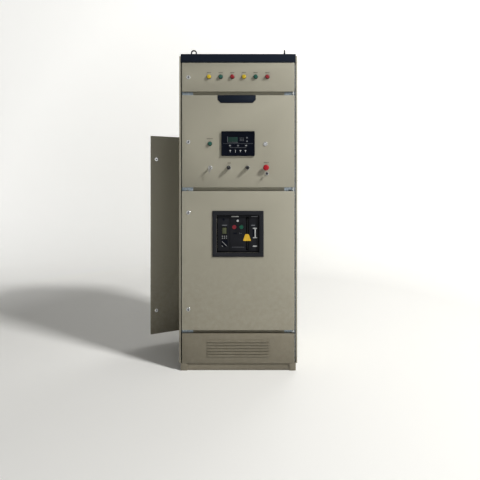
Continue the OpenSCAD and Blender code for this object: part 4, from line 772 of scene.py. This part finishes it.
# %% [markdown]
# Over each lamp and over some switches sits a small plate of laminate. Its own face is blank, and from a few
# steps away it reads as a short grey stroke. It is a thin box, glued on, so its corners are only broken.

# %% Blank labels
SWITCH_Z = 1409
# Laminate: an even brownish grey with about the sheen of the paint
label_laminate = grained("grey_engraved_laminate", "#757265", "#7F7C6F", 0.45, 1.2, 0.02)


def label(x, z, width):
    """A blank laminate plate on a front face, 6 mm high, centred at x and z."""
    return block("label", (x - width / 2, FRONT_Y - 0.8, z - 3), (x + width / 2, FRONT_Y + 0.1, z + 3), 0.25)


lamp_labels = joined("lamp_labels", [label(x, LAMP_Z + 29, 30) for x in lamp_xs])
finished(lamp_labels, label_laminate, "top_door", "black_plastic")
switch_labels = joined("switch_labels", [label(RUN_X, RUN_Z + 35, 42), label(-62, SWITCH_Z + 33, 24),
                                         label(196, SWITCH_Z + 36, 36)])
finished(switch_labels, label_laminate, "middle_door", "black_plastic")
print("labels placed")

# %% [markdown]
# **Plaque.** A navy plate hangs from the top edge of the middle door, its lower corners cut at 45 degrees. It
# is stamped from 2 mm sheet, so its face edge is slightly rolled, and a fine border line is sunk into it.

# %% Plaque
plaque = solid_copy("door_plaque", "plaque_plate")
with edit_mode(plaque):
    pick_faces(plaque, lambda centre, normal: normal.y < -0.9)
    for width, depth in ((4, 0), (1.2, -0.4), (0.6, 0.4)):
        bpy.ops.mesh.inset(thickness=width * MM, depth=depth * MM)
finished(smooth(rounded(plaque, 0.3, 2, 50)), navy_coat, "middle_door", "navy_paint", "door_plaque")
print("plaque:", len(plaque.data.polygons), "faces")

# %% [markdown]
# **Generator controller.** A black case clamped into a cut-out. Its face is a printed film with a liquid
# crystal window, soft keys under the film, and a mimic line that joins the generator to the mains. The keys,
# window, divider and mimic line are made as thin plates. Behind the door are the body and its plug-in
# terminals.

# %% Controller case
at_controller = facing_front(0, RUN_Z)
# Film: deep black with hardly any reflection
panel_film = plastic("black_front_panel_film", "#050813", "#080C18", 0.3, 0.06, 1.5, 0.01)
# Terminals: the plain bright green of such plugs
terminal_green = grained("green_terminal_polyamide", "#2C7A44", "#25693A", 0.4, 0.8, 0.03)
skinned("controller", "controller_case", panel_film, "middle_door", "controller_plastic", 0.4)
plugs = [block("plug", (36 * i - 15.3, y - 5.8, -52.3), (36 * i + 15.3, y + 5.8, -44.5), 0.6)
         for i in range(-2, 3) for y in (-60.7, 60.7)]
finished(moved(joined("controller_terminals", plugs), at_controller), terminal_green, "middle_door",
         "green_plastic")
print("controller case done")

# %% [markdown]
# **Display windows.** Each is acrylic over a dark liquid crystal panel, which is dark teal, or olive on the
# breaker, when the light falls on it. Its rows of dots are too fine to show, so they are drawn 9 mm apart.

# %% Display windows
def display_glass(name, colour, shade):
    """Acrylic window over a liquid crystal panel with its rows."""
    finish, tree, shader, place = new_finish(name, colour, 0.2, Specular_IOR_Level=0.2)
    rows = add_node(tree, "ShaderNodeTexWave", {"Vector": place, "Scale": wave_scale(9)}, bands_direction="Z")
    tones = add_node(tree, "ShaderNodeMix", {
        "Factor": rows.outputs["Fac"], 6: linear(colour), 7: linear(shade)}, data_type="RGBA")
    tree.links.new(tones.outputs[2], shader.inputs["Base Color"])
    return finish


teal_display = display_glass("teal_liquid_crystal_window", "#122824", "#1A3832")
olive_display = display_glass("olive_liquid_crystal_window", "#4A4F3A", "#565B43")
glass = moved(block("controller_display", (-69.8, 10.7, 7), (-2.2, 45.3, 7.9), 0.3), at_controller)
finished(glass, teal_display, "middle_door", "controller_plastic")
print("display windows:", teal_display.name, olive_display.name)

# %% [markdown]
# The marks stand less than a millimetre proud of the film, and the keys 2 mm. Each finish makes one piece:
# grey marks, rubber keys and white marks. The mimic line is a bar with three stubs, each ending in a key.

# %% Controller face
# Ink: matt and even; the grey ink is half as bright
white_print = grained("white_screen_print", "#C9CBC9", "#BBBDBC", 0.5, 1.5, 0.01)
grey_print = grained("grey_screen_print", "#66696E", "#5D6064", 0.5, 1.5, 0.01)
# Silicone: quite matt, a shade darker than the ink
key_rubber = grained("grey_silicone_key", "#55585C", "#5F6266", 0.6, 0.8, 0.02)
KEY_X = 55.5
greys = [(-74, 8, -71.5, 49, 8.7), (-71.5, 8, 0, 9.6, 8.7), (-104, -0.6, 104, 0.6, 8.4),
         (-56.4, -29, 56.4, -27.2, 8.5)]
greys += [(x - 0.9, -28, x + 0.9, -18, 8.5) for x in (-KEY_X, 0, KEY_X)]
greys += [(12 + 11 * i, 19 + 9 * j, 19 + 11 * i, 22 + 9 * j, 8.5) for i in range(3) for j in range(3)]
grey_marks = [block("mark", (left, low, 8), (right, high, top), 0.1) for left, low, right, high, top in greys]
keys = [block("key", (x - 7.2, -18.9, 8), (x + 7.2, -9.1, 10), 0.5, 2) for x in (-KEY_X, 0, KEY_X)]
keys += [moved(turned("key", [(8, 6.6), (9.4, 6.4), (10, 5.2)], 24, 0.3), shift(62, y, 0)) for y in (40, 16)]
whites = []
sixty = Matrix.Rotation(math.radians(60), 4, "Z")
for x in (-54, 17, 52):
    whites.append(moved(turned("tip", [(8, 7.2), (9.0, 7.0)], 3, 0.3), shift(x, -49, 0) @ sixty))
    whites.append(block("stem", (x - 1.2, -60, 8), (x + 1.2, -50, 8.8), 0.1))
whites.append(block("stem", (-19.2, -62, 8), (-16.8, -44, 8.8), 0.1))
whites += [block("lit", (x - 4.5, -15.5, 9.6), (x + 4.5, -12.5, 10.2), 0.1) for x in (-KEY_X, KEY_X)]
for name, pieces, finish in (("controller_grey_marks", grey_marks, grey_print),
                             ("controller_soft_keys", keys, key_rubber),
                             ("controller_white_marks", whites, white_print)):
    face_piece = moved(joined(name, pieces), at_controller)
    finished(smooth(face_piece), finish, "middle_door", "controller_plastic")
    print(name, "on the film")

# %% [markdown]
# **Switch row.** All switches are of the 22 mm series: a chromed ring, a barrel, a nut and a contact block
# behind the sheet. What differs is the operator in the ring. One function makes a seat from the radii of its
# ring and its bore, and the reset key gets a smaller one.

# %% Switch seats
switches = {
    "left_knob": (-64.5, SWITCH_Z, 15, 5), "right_knob": (64.5, SWITCH_Z, 15, 5),
    "emergency_stop": (195, SWITCH_Z, 15, 5), "push_button": (189, 1574, 15, 9.6),
    "mode_key": (-194, SWITCH_Z, 15, 6), "reset_key": (200, 1368, 12, 6)}
at_switch = {node: facing_front(x, z) for node, (x, z, ring, bore) in switches.items()}
# Charcoal polyester: nearly black, and duller than the black polyamide
breaker_mould = plastic("charcoal_moulded_polyester", "#18191D", "#1E1F23", 0.5, 0.1, 1.0, 0.04)


def seat(ring, bore):
    """A chromed ring with its barrel, nut and bore."""
    steps = [(-40, 10.9), (0.1, 10.9), (0.1, ring), (2.4, ring), (4.0, ring - 1.6), (4.0, bore + 1.4),
             (2.6, bore + 0.3), (-6, bore + 0.2)]
    return joined("seat", [turned("shell", steps, 48, 0.25),
                           turned("nut", [(-7, 13.0), (-2.2, 13.0)], 6, 0.6)])


seats = [moved(seat(ring, bore), at_switch[node]) for node, (x, z, ring, bore) in switches.items()]
finished(joined("switch_rings_chromed", seats), chrome_plate, "middle_door", "chrome", "switch_rings")
contact_pair = joined("contact_pair", [block("contact", (x, -13.6, -69.5), (x + 13, 13.6, -40), 0.8)
                                       for x in (-13.6, 0.6)])
contacts = repeated("contact_blocks", contact_pair, at_switch.values())
finished(contacts, breaker_mould, "middle_door", "black_plastic")
print("seats and contact blocks placed")

# %% [markdown]
# **Adjusting knobs.** Each has a round skirt and a slightly tapered grip with moulded flutes. The flutes are
# made by insetting every second side face of the turned grip and pushing it in. A white line on the end face
# is the pointer.

# %% Knobs
shaft = turned("shaft", [(-37, 4.9), (6, 4.9)], 24, 0.2)
skirt = turned("skirt", [(4.3, 13.6), (10, 13.4), (12.2, 12.4)], 48, 0.5)
grip = turned("grip", [(11.8, 12.4), (30.5, 11.4), (33.2, 10.6), (34, 9.0)], 36, 0)


def flute(centre, normal):
    """Every second face round the side of the grip."""
    around = round(math.degrees(math.atan2(centre.y, centre.x)) / 10 - 0.5)
    return abs(normal.z) < 0.2 and 12.5 * MM < centre.z < 30 * MM and around % 2 == 0


with edit_mode(grip):
    pick_faces(grip, flute)
    bpy.ops.mesh.inset(thickness=0.25 * MM, depth=-0.55 * MM, use_individual=True)
knob_model = joined("knob_model", [smooth(rounded(grip, 0.3, 2, 30)), skirt, shaft])
line_model = block("line_model", (-0.7, 1.0, 33.6), (0.7, 8.4, 34.1), 0.1)
for node, body in (("left_knob", "knob_left"), ("right_knob", "knob_right")):
    knob = placed(knob_model, node + "_fluted", at_switch[node])
    finished(knob, black_mould, body, "black_plastic", node)
    finished(placed(line_model, node + "_pointer", at_switch[node]), white_print, body, "black_plastic")
discard(knob_model, line_model)
print("knobs placed")

# %% [markdown]
# **Emergency stop and chrome button.** The stop is a glossy red mushroom head, 41 mm across, on a neck. It is
# turned with a rounded rim and a shallow dome. The chrome button is a cap with a fine edge in its ring.

# %% Stop and push button
# Red polyamide: the one strong, glossy colour on the door
red_mould = plastic("red_moulded_polyamide", "#A81020", "#9A0D1B", 0.3, 0.3)
stop = turned("emergency_stop_head", [
    (-34, 4.9), (13.2, 4.9), (13.2, 9), (14, 17.5), (15.2, 19.6), (17.5, 20.5), (21.5, 20.5), (24.6, 19.4),
    (26.8, 17), (28.2, 13), (28.8, 8), (29, 2.5)], 56, 0.3)
finished(moved(stop, at_switch["emergency_stop"]), red_mould, "stop_button", "red_plastic", "emergency_stop")
cap = turned("chrome_push_button", [(-34, 4.9), (-1, 4.9), (-1, 9.4), (4.2, 9.4), (5, 8.6), (5.2, 7.4),
                                    (4.7, 6.4), (4.7, 1)], 40, 0.2)
finished(moved(cap, at_switch["push_button"]), chrome_plate, "chrome_button", "chrome", "push_button")
print("stop and push button placed")

# %% [markdown]
# **Keys.** A flat key with a round bow stands in each key switch. The bow is cut from sheet with a hole for
# the ring, so it is made as a disc that is inset, punched and given a thickness.

# %% Keys
# Nickel on brass: a duller, warmer metal than the chrome
nickel_plate = grained("nickel_plated_key_brass", "#A3A19B", "#918F89", 0.28, 5, 0.02, 1.0)


def flat_key(name, bow_mm, thick_mm, top_mm):
    """A flat key with a punched bow, its blade down the z axis."""
    middle = top_mm - bow_mm / 2
    bow = added("bow", bpy.ops.mesh.primitive_circle_add, vertices=36, radius=bow_mm / 2 * MM,
                fill_type="NGON", location=(0, 0, middle * MM), rotation=(0, math.radians(90), 0))
    with edit_mode(bow):
        bpy.ops.mesh.inset(thickness=bow_mm * 0.32 * MM)
        bpy.ops.transform.translate(value=(0, 0, bow_mm * 0.16 * MM))
        bpy.ops.mesh.delete(type="FACE")
    rounded(applied(bow, "SOLIDIFY", thickness=thick_mm * MM, offset=0), 0.4)
    blade = block("blade", (-thick_mm / 2, -3.6, 1), (thick_mm / 2, 3.6, middle - bow_mm * 0.3), 0.4)
    return joined(name, [smooth(bow), blade])


for node, name, bow_mm, thick_mm, finish, body, slot in (
        ("mode_key", "mode_key_steel", 22, 2.6, nickel_plate, "key_mode", "chrome"),
        ("reset_key", "reset_key_black", 20, 3.0, black_mould, "key_reset", "black_plastic")):
    plug = turned("plug", [(-37, 5.9), (4.4, 5.9), (5, 5.2)], 32, 0.2)
    key = joined(name, [flat_key("key", bow_mm, thick_mm, 34), plug])
    finished(moved(key, at_switch[node]), finish, body, slot, node)
    print(name, "in its switch")

# %% [markdown]
# The mode key carries a spare on a split ring. The ring is a thin torus, pulled a little longer, and it runs
# through both bows.

# %% Spare key
KEY_SWITCH_X, RING_Y = switches["mode_key"][0], FRONT_Y - 27
split_ring = added("split_ring", bpy.ops.mesh.primitive_torus_add, major_radius=7.5 * MM,
                   minor_radius=0.8 * MM, major_segments=40, minor_segments=10,
                   location=(KEY_SWITCH_X * MM, RING_Y * MM, (SWITCH_Z - 8) * MM),
                   rotation=(math.radians(90), 0, 0))
with edit_mode(split_ring):
    bpy.ops.transform.resize(value=(1, 1.5, 1), center_override=(0, RING_Y * MM, 0))
hang = shift(KEY_SWITCH_X, RING_Y, SWITCH_Z - 42) @ Matrix.Rotation(math.radians(90), 4, "Z")
spare = moved(flat_key("spare", 18, 2.0, 30), hang)
spare_key = joined("spare_key_and_ring", [spare, smooth(split_ring, 180)])
finished(spare_key, nickel_plate, "key_mode", "chrome")
print("spare key hung")

# %% [markdown]
# ## Air circuit breaker
# Its mouldings come right from the solids: a bezel that slopes at its rim and steps down to the window, a
# face plate with raised fields, and a trip unit with a sunk display, three pairs of keys and a chart field.
# A moulding has no sharp edge anywhere, so each copy has all its edges rounded by half a millimetre or so. A
# black dust flange closes the gap round the face, so that no light comes through from the back.

# %% Breaker mouldings
# Bezel plastic: as dull as the breaker, a shade lighter
bezel_mould = plastic("grey_moulded_bezel_plastic", "#212226", "#27282C", 0.5, 0.1, 1.0, 0.04)
# Bare copper: a soft brown-red gleam
copper_bar = grained("bare_copper_bar", "#B8774E", "#A4683F", 0.34, 6, 0.02, 1.0)
# Foam: dead black, with open pores
gasket_foam = plastic("black_gasket_foam", "#101010", "#181818", 0.85, 0.12, 1.2, 0.2)
skinned("breaker_bezel", "breaker_bezel_moulded", bezel_mould, "bottom_door", "black_plastic", 0.5, 25)
for node, name, round_mm in (("breaker_fascia", "breaker_face_plate", 0.4),
                             ("breaker_trip_unit", "trip_unit_moulded", 0.3),
                             ("breaker_housing", "breaker_housing_moulded", 1.2),
                             ("breaker_fittings", "breaker_fittings_moulded", 0.5)):
    skinned(node, name, breaker_mould, "cabinet", "breaker_plastic", round_mm)
skinned("breaker_terminals", "breaker_terminal_bars", copper_bar, "cabinet", "copper", 0.5)
FLANGE_FRONT, FLANGE_BACK = -286, -283
flange = [block("flange", (left, FLANGE_FRONT, low), (right, FLANGE_BACK, high), 0)
          for left, low, right, high in ((-162, 807, -144.2, 1093), (142.2, 807, 160, 1093),
                                         (-144.4, 807, 142.4, 824.8), (-144.4, 1075.2, 142.4, 1093))]
finished(joined("breaker_dust_flange", flange), gasket_foam, "cabinet", "breaker_plastic")
print("breaker mouldings done")

# %% [markdown]
# Four pan head screws hold the bezel. A pan head screw is a low dome with a round recess, turned in steps.

# %% Bezel screws
def pan_screw(head_mm):
    """A pan head screw with a round recess, upright at the origin."""
    r = head_mm / 2
    return turned("screw", [(-3, r * 0.5), (0, r * 0.5), (0, r), (r * 0.35, r * 0.94), (r * 0.5, r * 0.6),
                            (r * 0.5, r * 0.42), (r * 0.15, r * 0.36)], 28, 0)


BEZEL_PROUD = 5.7
bezel_screws = repeated("bezel_screws", pan_screw(6), [
    facing_front(x, z, FRONT_Y - BEZEL_PROUD) for x in (-167, 165) for z in (802, 1098)])
finished(bezel_screws, breaker_mould, "bottom_door", "black_plastic")
print("bezel screws placed")

# %% [markdown]
# **Marks on the breaker.** Prints, small windows and plates are half a millimetre thick, and each lies on the
# level of its own field. They are boxes too, joined by finish. The charge flag at the right is a white column
# between two bars.

# %% Marks
FACE_Y, BREAKER_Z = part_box("breaker_fascia")[0].y / MM + 1, 950
at_breaker = facing_front(0, BREAKER_Z, FACE_Y)
# Label film: pale and slightly glossy
pale_label = grained("pale_label_film", "#B4B6B4", "#A9ABA8", 0.45, 1.5, 0.01)


def marks_of(name, finish, boxes):
    """Thin plates on the breaker's face: (left, right, low, high, height of the top)."""
    plates = [block("mark", (left, low, top - 0.6), (right, high, top), 0.1)
              for left, right, low, high, top in boxes]
    finished(moved(joined(name, plates), at_breaker), finish, "cabinet", "breaker_plastic")
    print(name, len(plates))


key_columns = (-111, -97, -83)
marks_of("breaker_white_prints", white_print, [
    (101, 130, 34, 41, 1.3), (113, 121, -26, 35, 1.3), (101, 130, -31, -25, 1.3), (101, 130, -91, -83, 1.3)])
marks_of("breaker_grey_prints", grey_print, [
    (90, 136, 117, 122, 0.4), (88, 116, 55, 62, 1.3), (-114, -79, 56, 62, 1.3), (8, 10, -2, 8, 0.4),
    (14, 24, 1, 3, 0.4), (-46, 42, -95, -93, 0.4)] + [(x - 1, x + 1, -27, -21, 1.3) for x in key_columns])
marks_of("breaker_dark_windows", panel_film, [
    (-35.8, -11.2, -3.3, 7.3, -0.9), (99.2, 111.8, -24.8, 32.8, -0.9), (-52, -48, -96.5, -91.5, 0.5),
    (44, 48, -96.5, -91.5, 0.5), (-118.5, -75.5, -91.5, -44.5, 0.6), (-115.3, -78.7, -5.3, 46.3, 0.0)])
marks_of("breaker_pale_plates", pale_label, [(-49, 2, 116, 122.5, 0.5)] + [
    (x - 3.6, x + 3.6, y - 1.9, y + 1.9, 2.2) for x in key_columns for y in (-17, -31)])
marks_of("trip_display", olive_display, [(-111, -83, -1, 42, 0.4)])

# %% [markdown]
# The trip unit's chart has a long and a short slanting stroke. A round seal sits above the buttons, and a
# round dark window above the trip unit's display is made from the same turned dot.

# %% Strokes and dots
lean = Matrix.Rotation(math.radians(-44), 4, "Z")
strokes = []
for half, x, y in ((23, -98, -69), (5, -112, -86)):
    stroke = block("stroke", (-half, -1.2, 0.3), (half, 1.2, 0.9), 0.1)
    strokes.append(moved(stroke, at_breaker @ shift(x, y, 0) @ lean))
finished(joined("trip_chart_strokes", strokes), white_print, "cabinet", "breaker_plastic")
dot = turned("dot", [(0.2, 8), (1.4, 8), (2.0, 6.8)], 36, 0.3)
for name, finish, matrix in (("breaker_white_seal", white_print, shift(-5, 90, 0)),
                             ("trip_pilot", panel_film, shift(-103, 99, 0.3))):
    finished(placed(dot, name, at_breaker @ matrix), finish, "cabinet", "breaker_plastic")
discard(dot)
print("strokes and dots placed")

# %% [markdown]
# **Buttons.** Off is red and on is green, each a flat cap with a dished face on a stem.

# %% Buttons
# Button plastic: the same polyamide, dyed darker and duller
dull_green = plastic("dull_green_button_polyamide", "#1D5A45", "#194F3D", 0.4, 0.2)
dull_red = plastic("dull_red_button_polyamide", "#862B34", "#7A2730", 0.4, 0.2)
button_model = joined("button_model", [
    turned("button", [(-6, 13.8), (1.4, 13.8), (2.7, 12.9), (3.0, 11.4), (2.5, 9.5), (2.3, 5)], 48, 0.2),
    turned("stem", [(-40, 3.9), (-5.5, 3.9)], 20, 0.2)])
for node, x, finish, body, slot in (("on_button", 21, dull_green, "breaker_on", "green_plastic"),
                                    ("off_button", -29, dull_red, "breaker_off", "red_plastic")):
    cap = placed(button_model, node + "_cap", at_breaker @ shift(x, 46, 0))
    finished(cap, finish, body, slot, node)
discard(button_model)
print("on and off buttons placed")

# %% [markdown]
# **Charging handle.** It lies in its slot, and a yellow tab on it gives the finger a hold. The tab is a thin
# box, drawn in at its upper edge and bevelled at its corners, with a root that joins it to the lever.

# %% Charging handle
# Yellow polyamide: warm and plain, with a slight sheen
yellow_tab = grained("yellow_moulded_tab", "#DDB32A", "#D3A822", 0.4, 1.0, 0.03)
skinned("charging_handle", "charging_handle_lever", black_mould, "breaker_handle", "black_plastic", 1.2)
tab = block("tab", (31.5, -50, -0.5), (88.5, -3, 2.6), 0)
with edit_mode(tab):
    pick_faces(tab, lambda centre, normal: normal.y > 0.9)
    bpy.ops.transform.resize(value=(0.42, 1, 1), center_override=(60 * MM, 0, 0))
    pick_edges(tab, lambda a, b: abs(a.z - b.z) > 1 * MM)
    bpy.ops.mesh.bevel(offset=5 * MM, segments=5, affect="EDGES")
root = block("root", (58, -44, -12), (66, -12, 0))
pull_tab = moved(joined("handle_pull_tab", [smooth(rounded(tab, 0.6, 2, 50)), root]), at_breaker)
finished(pull_tab, yellow_tab, "breaker_handle", "black_plastic")
print("handle and tab done")

# %% [markdown]
# ## Seals and screws
# **Gaskets.** A foam strip is glued round the inside of every door, where it meets the frame. A loop is a
# flat rectangle, inset by the strip's width, with its middle taken out, and Solidify gives it its height. It
# stays clear of the locks and hinges, which sit outside it.

# %% Gaskets
def gasket_loop(left, right, bottom, top):
    """A loop of foam strip on its back, 10 mm wide and 5 mm high, glued to the inside of a 2 mm sheet."""
    size = ((right - left) * MM, (top - bottom) * MM, 1)
    middle = ((left + right) / 2 * MM, (bottom + top) / 2 * MM, -2 * MM)
    loop = added("loop", bpy.ops.mesh.primitive_plane_add, size, size=1, location=middle)
    with edit_mode(loop):
        bpy.ops.mesh.inset(thickness=10 * MM)
        bpy.ops.mesh.delete(type="FACE")
    return smooth(rounded(applied(loop, "SOLIDIFY", thickness=5 * MM, offset=-1), 1.5, 3, 50))


SEAL_LEFT, SEAL_RIGHT = -332, 366
for body, bottom, top in (("top_door", 1951, 2126), ("middle_door", 1285, 1901),
                          ("bottom_door", 294, 1235)):
    gasket = moved(gasket_loop(SEAL_LEFT, SEAL_RIGHT, bottom, top), facing_front(0, 0))
    gasket.name = body + "_gasket"
    finished(gasket, gasket_foam, body, "black_plastic")
leaf_gasket = gasket_loop(-380, -12, 92, 1679)
for side, matrix in (("right", facing_rear(0, 0)), ("left", on_left_leaf @ facing_rear(0, 0))):
    gasket = placed(leaf_gasket, f"rear_{side}_gasket", matrix)
    finished(gasket, gasket_foam, f"rear_{side}_door", "black_plastic")
discard(leaf_gasket)
print("five gaskets glued in")

# %% [markdown]
# **Panel screws.** The side panels, the roof and the rear upper plate are held by pan head screws along their
# edges, which stand 1.5 mm proud of the paint.

# %% Panel screws
SIDE_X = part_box("right_side_panel")[1].x / MM
places = []
for z in (90, 500, 910, 1320, 1730, 2150):
    for y in (-280, 280):
        places += [facing_right(y, z, SIDE_X - 1), mirror_x @ facing_right(y, z, SIDE_X - 1)]
places += [facing_rear(x, z, -FRONT_Y - 1) for x in (-375, 0, 375) for z in (1716, 2122)]
places += [shift(x, y, ROOF_TOP - 1) for x in (-385, 385) for y in (-230, 0, 230)]
finished(repeated("panel_screws", pan_screw(10), places), zinc_screw, "cabinet", "zinc")
print("panel screws:", len(places))

# %% [markdown]
# ## Stage
# A plain pale floor turns up into a backdrop, like a roll of paper in a studio. It is a plane whose far edge
# is extruded upwards and then bevelled wide. The sheet glows a little away from the middle, but only for rays
# from the camera, from gloss and through glass, so that the backdrop is near white and lights nothing.

# %% Floor and backdrop
def seen_rays(tree):
    """One for rays from the camera, from gloss or through glass, and nought for rays that gather light."""
    rays = add_node(tree, "ShaderNodeLightPath")
    seen = add_node(tree, "ShaderNodeMath", {
        0: rays.outputs["Is Camera Ray"], 1: rays.outputs["Is Glossy Ray"]}, operation="MAXIMUM")
    return add_node(tree, "ShaderNodeMath", {
        0: seen.outputs[0], 1: rays.outputs["Is Transmission Ray"]}, operation="MAXIMUM").outputs[0]


pale_sheet, sheet_tree, sheet_shader, sheet_place = new_finish("pale_studio_sheet", "#E9E8E4", 0.9)
away = add_node(sheet_tree, "ShaderNodeVectorMath", {0: sheet_place}, operation="LENGTH").outputs["Value"]
glow = add_node(sheet_tree, "ShaderNodeMapRange", {
    "Value": away, "From Min": 2.5, "From Max": 7.0, "To Min": 0.05, "To Max": 0.6})
shown_glow = add_node(sheet_tree, "ShaderNodeMath", {
    0: glow.outputs["Result"], 1: seen_rays(sheet_tree)}, operation="MULTIPLY")
sheet_shader.inputs["Emission Color"].default_value = linear("#F7F7F5")
sheet_tree.links.new(shown_glow.outputs[0], sheet_shader.inputs["Emission Strength"])
FLOOR_WIDE, FLOOR_DEEP, BACKDROP_Y, BACKDROP_HIGH = 40, 34.5, 4.5, 7
floor = added("floor", bpy.ops.mesh.primitive_plane_add, (FLOOR_WIDE, FLOOR_DEEP, 1), size=1,
              location=(0, BACKDROP_Y - FLOOR_DEEP / 2, -0.0005))
with edit_mode(floor):
    pick_edges(floor, lambda a, b: min(a.y, b.y) > BACKDROP_Y - 0.1)
    bpy.ops.mesh.extrude_region_move(TRANSFORM_OT_translate={"value": (0, 0, BACKDROP_HIGH)})
    pick_edges(floor, lambda a, b: min(a.y, b.y) > BACKDROP_Y - 0.1 and max(a.z, b.z) < 0.1)
    bpy.ops.mesh.bevel(offset=1.5, segments=12, affect="EDGES")
floor.data.materials.append(pale_sheet)
smooth(floor, 60)
print("floor ready")

# %% [markdown]
# **Light.** The big lamp stands high at the right, as the light in the picture does, so that the knobs throw
# soft shadows down to the left, and the open leaf lies in the cabinet's shade. Two weak lamps lift the front
# and the back. The sky is even, and like the sheet it is bright only where it is seen or mirrored.

# %% Lamps and sky
def soft_lamp(name, place, aim, size, watts):
    """A square soft box that points at a place."""
    data = bpy.data.lights.new(name, "AREA")
    data.shape = "SQUARE"
    data.size = size
    data.energy = watts
    lamp = bpy.data.objects.new(name, data)
    lamp.location = place
    lamp.rotation_euler = (Vector(aim) - Vector(place)).to_track_quat("-Z", "Y").to_euler()
    bpy.context.scene.collection.objects.link(lamp)


soft_lamp("key_lamp", (6.2, -3.6, 7.2), (0, -0.2, 1.1), 1.0, 940)
soft_lamp("fill_lamp", (2.8, -4.4, 2.0), (0, 0, 1.0), 2.2, 22)
soft_lamp("back_lamp", (1.5, 3.2, 3.4), (0, 0, 1.2), 2.4, 34)
sky = bpy.data.worlds.new("soft_sky")
bpy.context.scene.world = sky
sky.use_nodes = True
sky_tree = sky.node_tree
strength = add_node(sky_tree, "ShaderNodeMapRange", {
    "Value": seen_rays(sky_tree), "To Min": 0.07, "To Max": 0.92})
background = sky_tree.nodes["Background"]
background.inputs["Color"].default_value = linear("#F2F2F0")
sky_tree.links.new(strength.outputs["Result"], background.inputs["Strength"])
bpy.context.scene.view_settings.view_transform = "Standard"
print("lamps and sky ready")
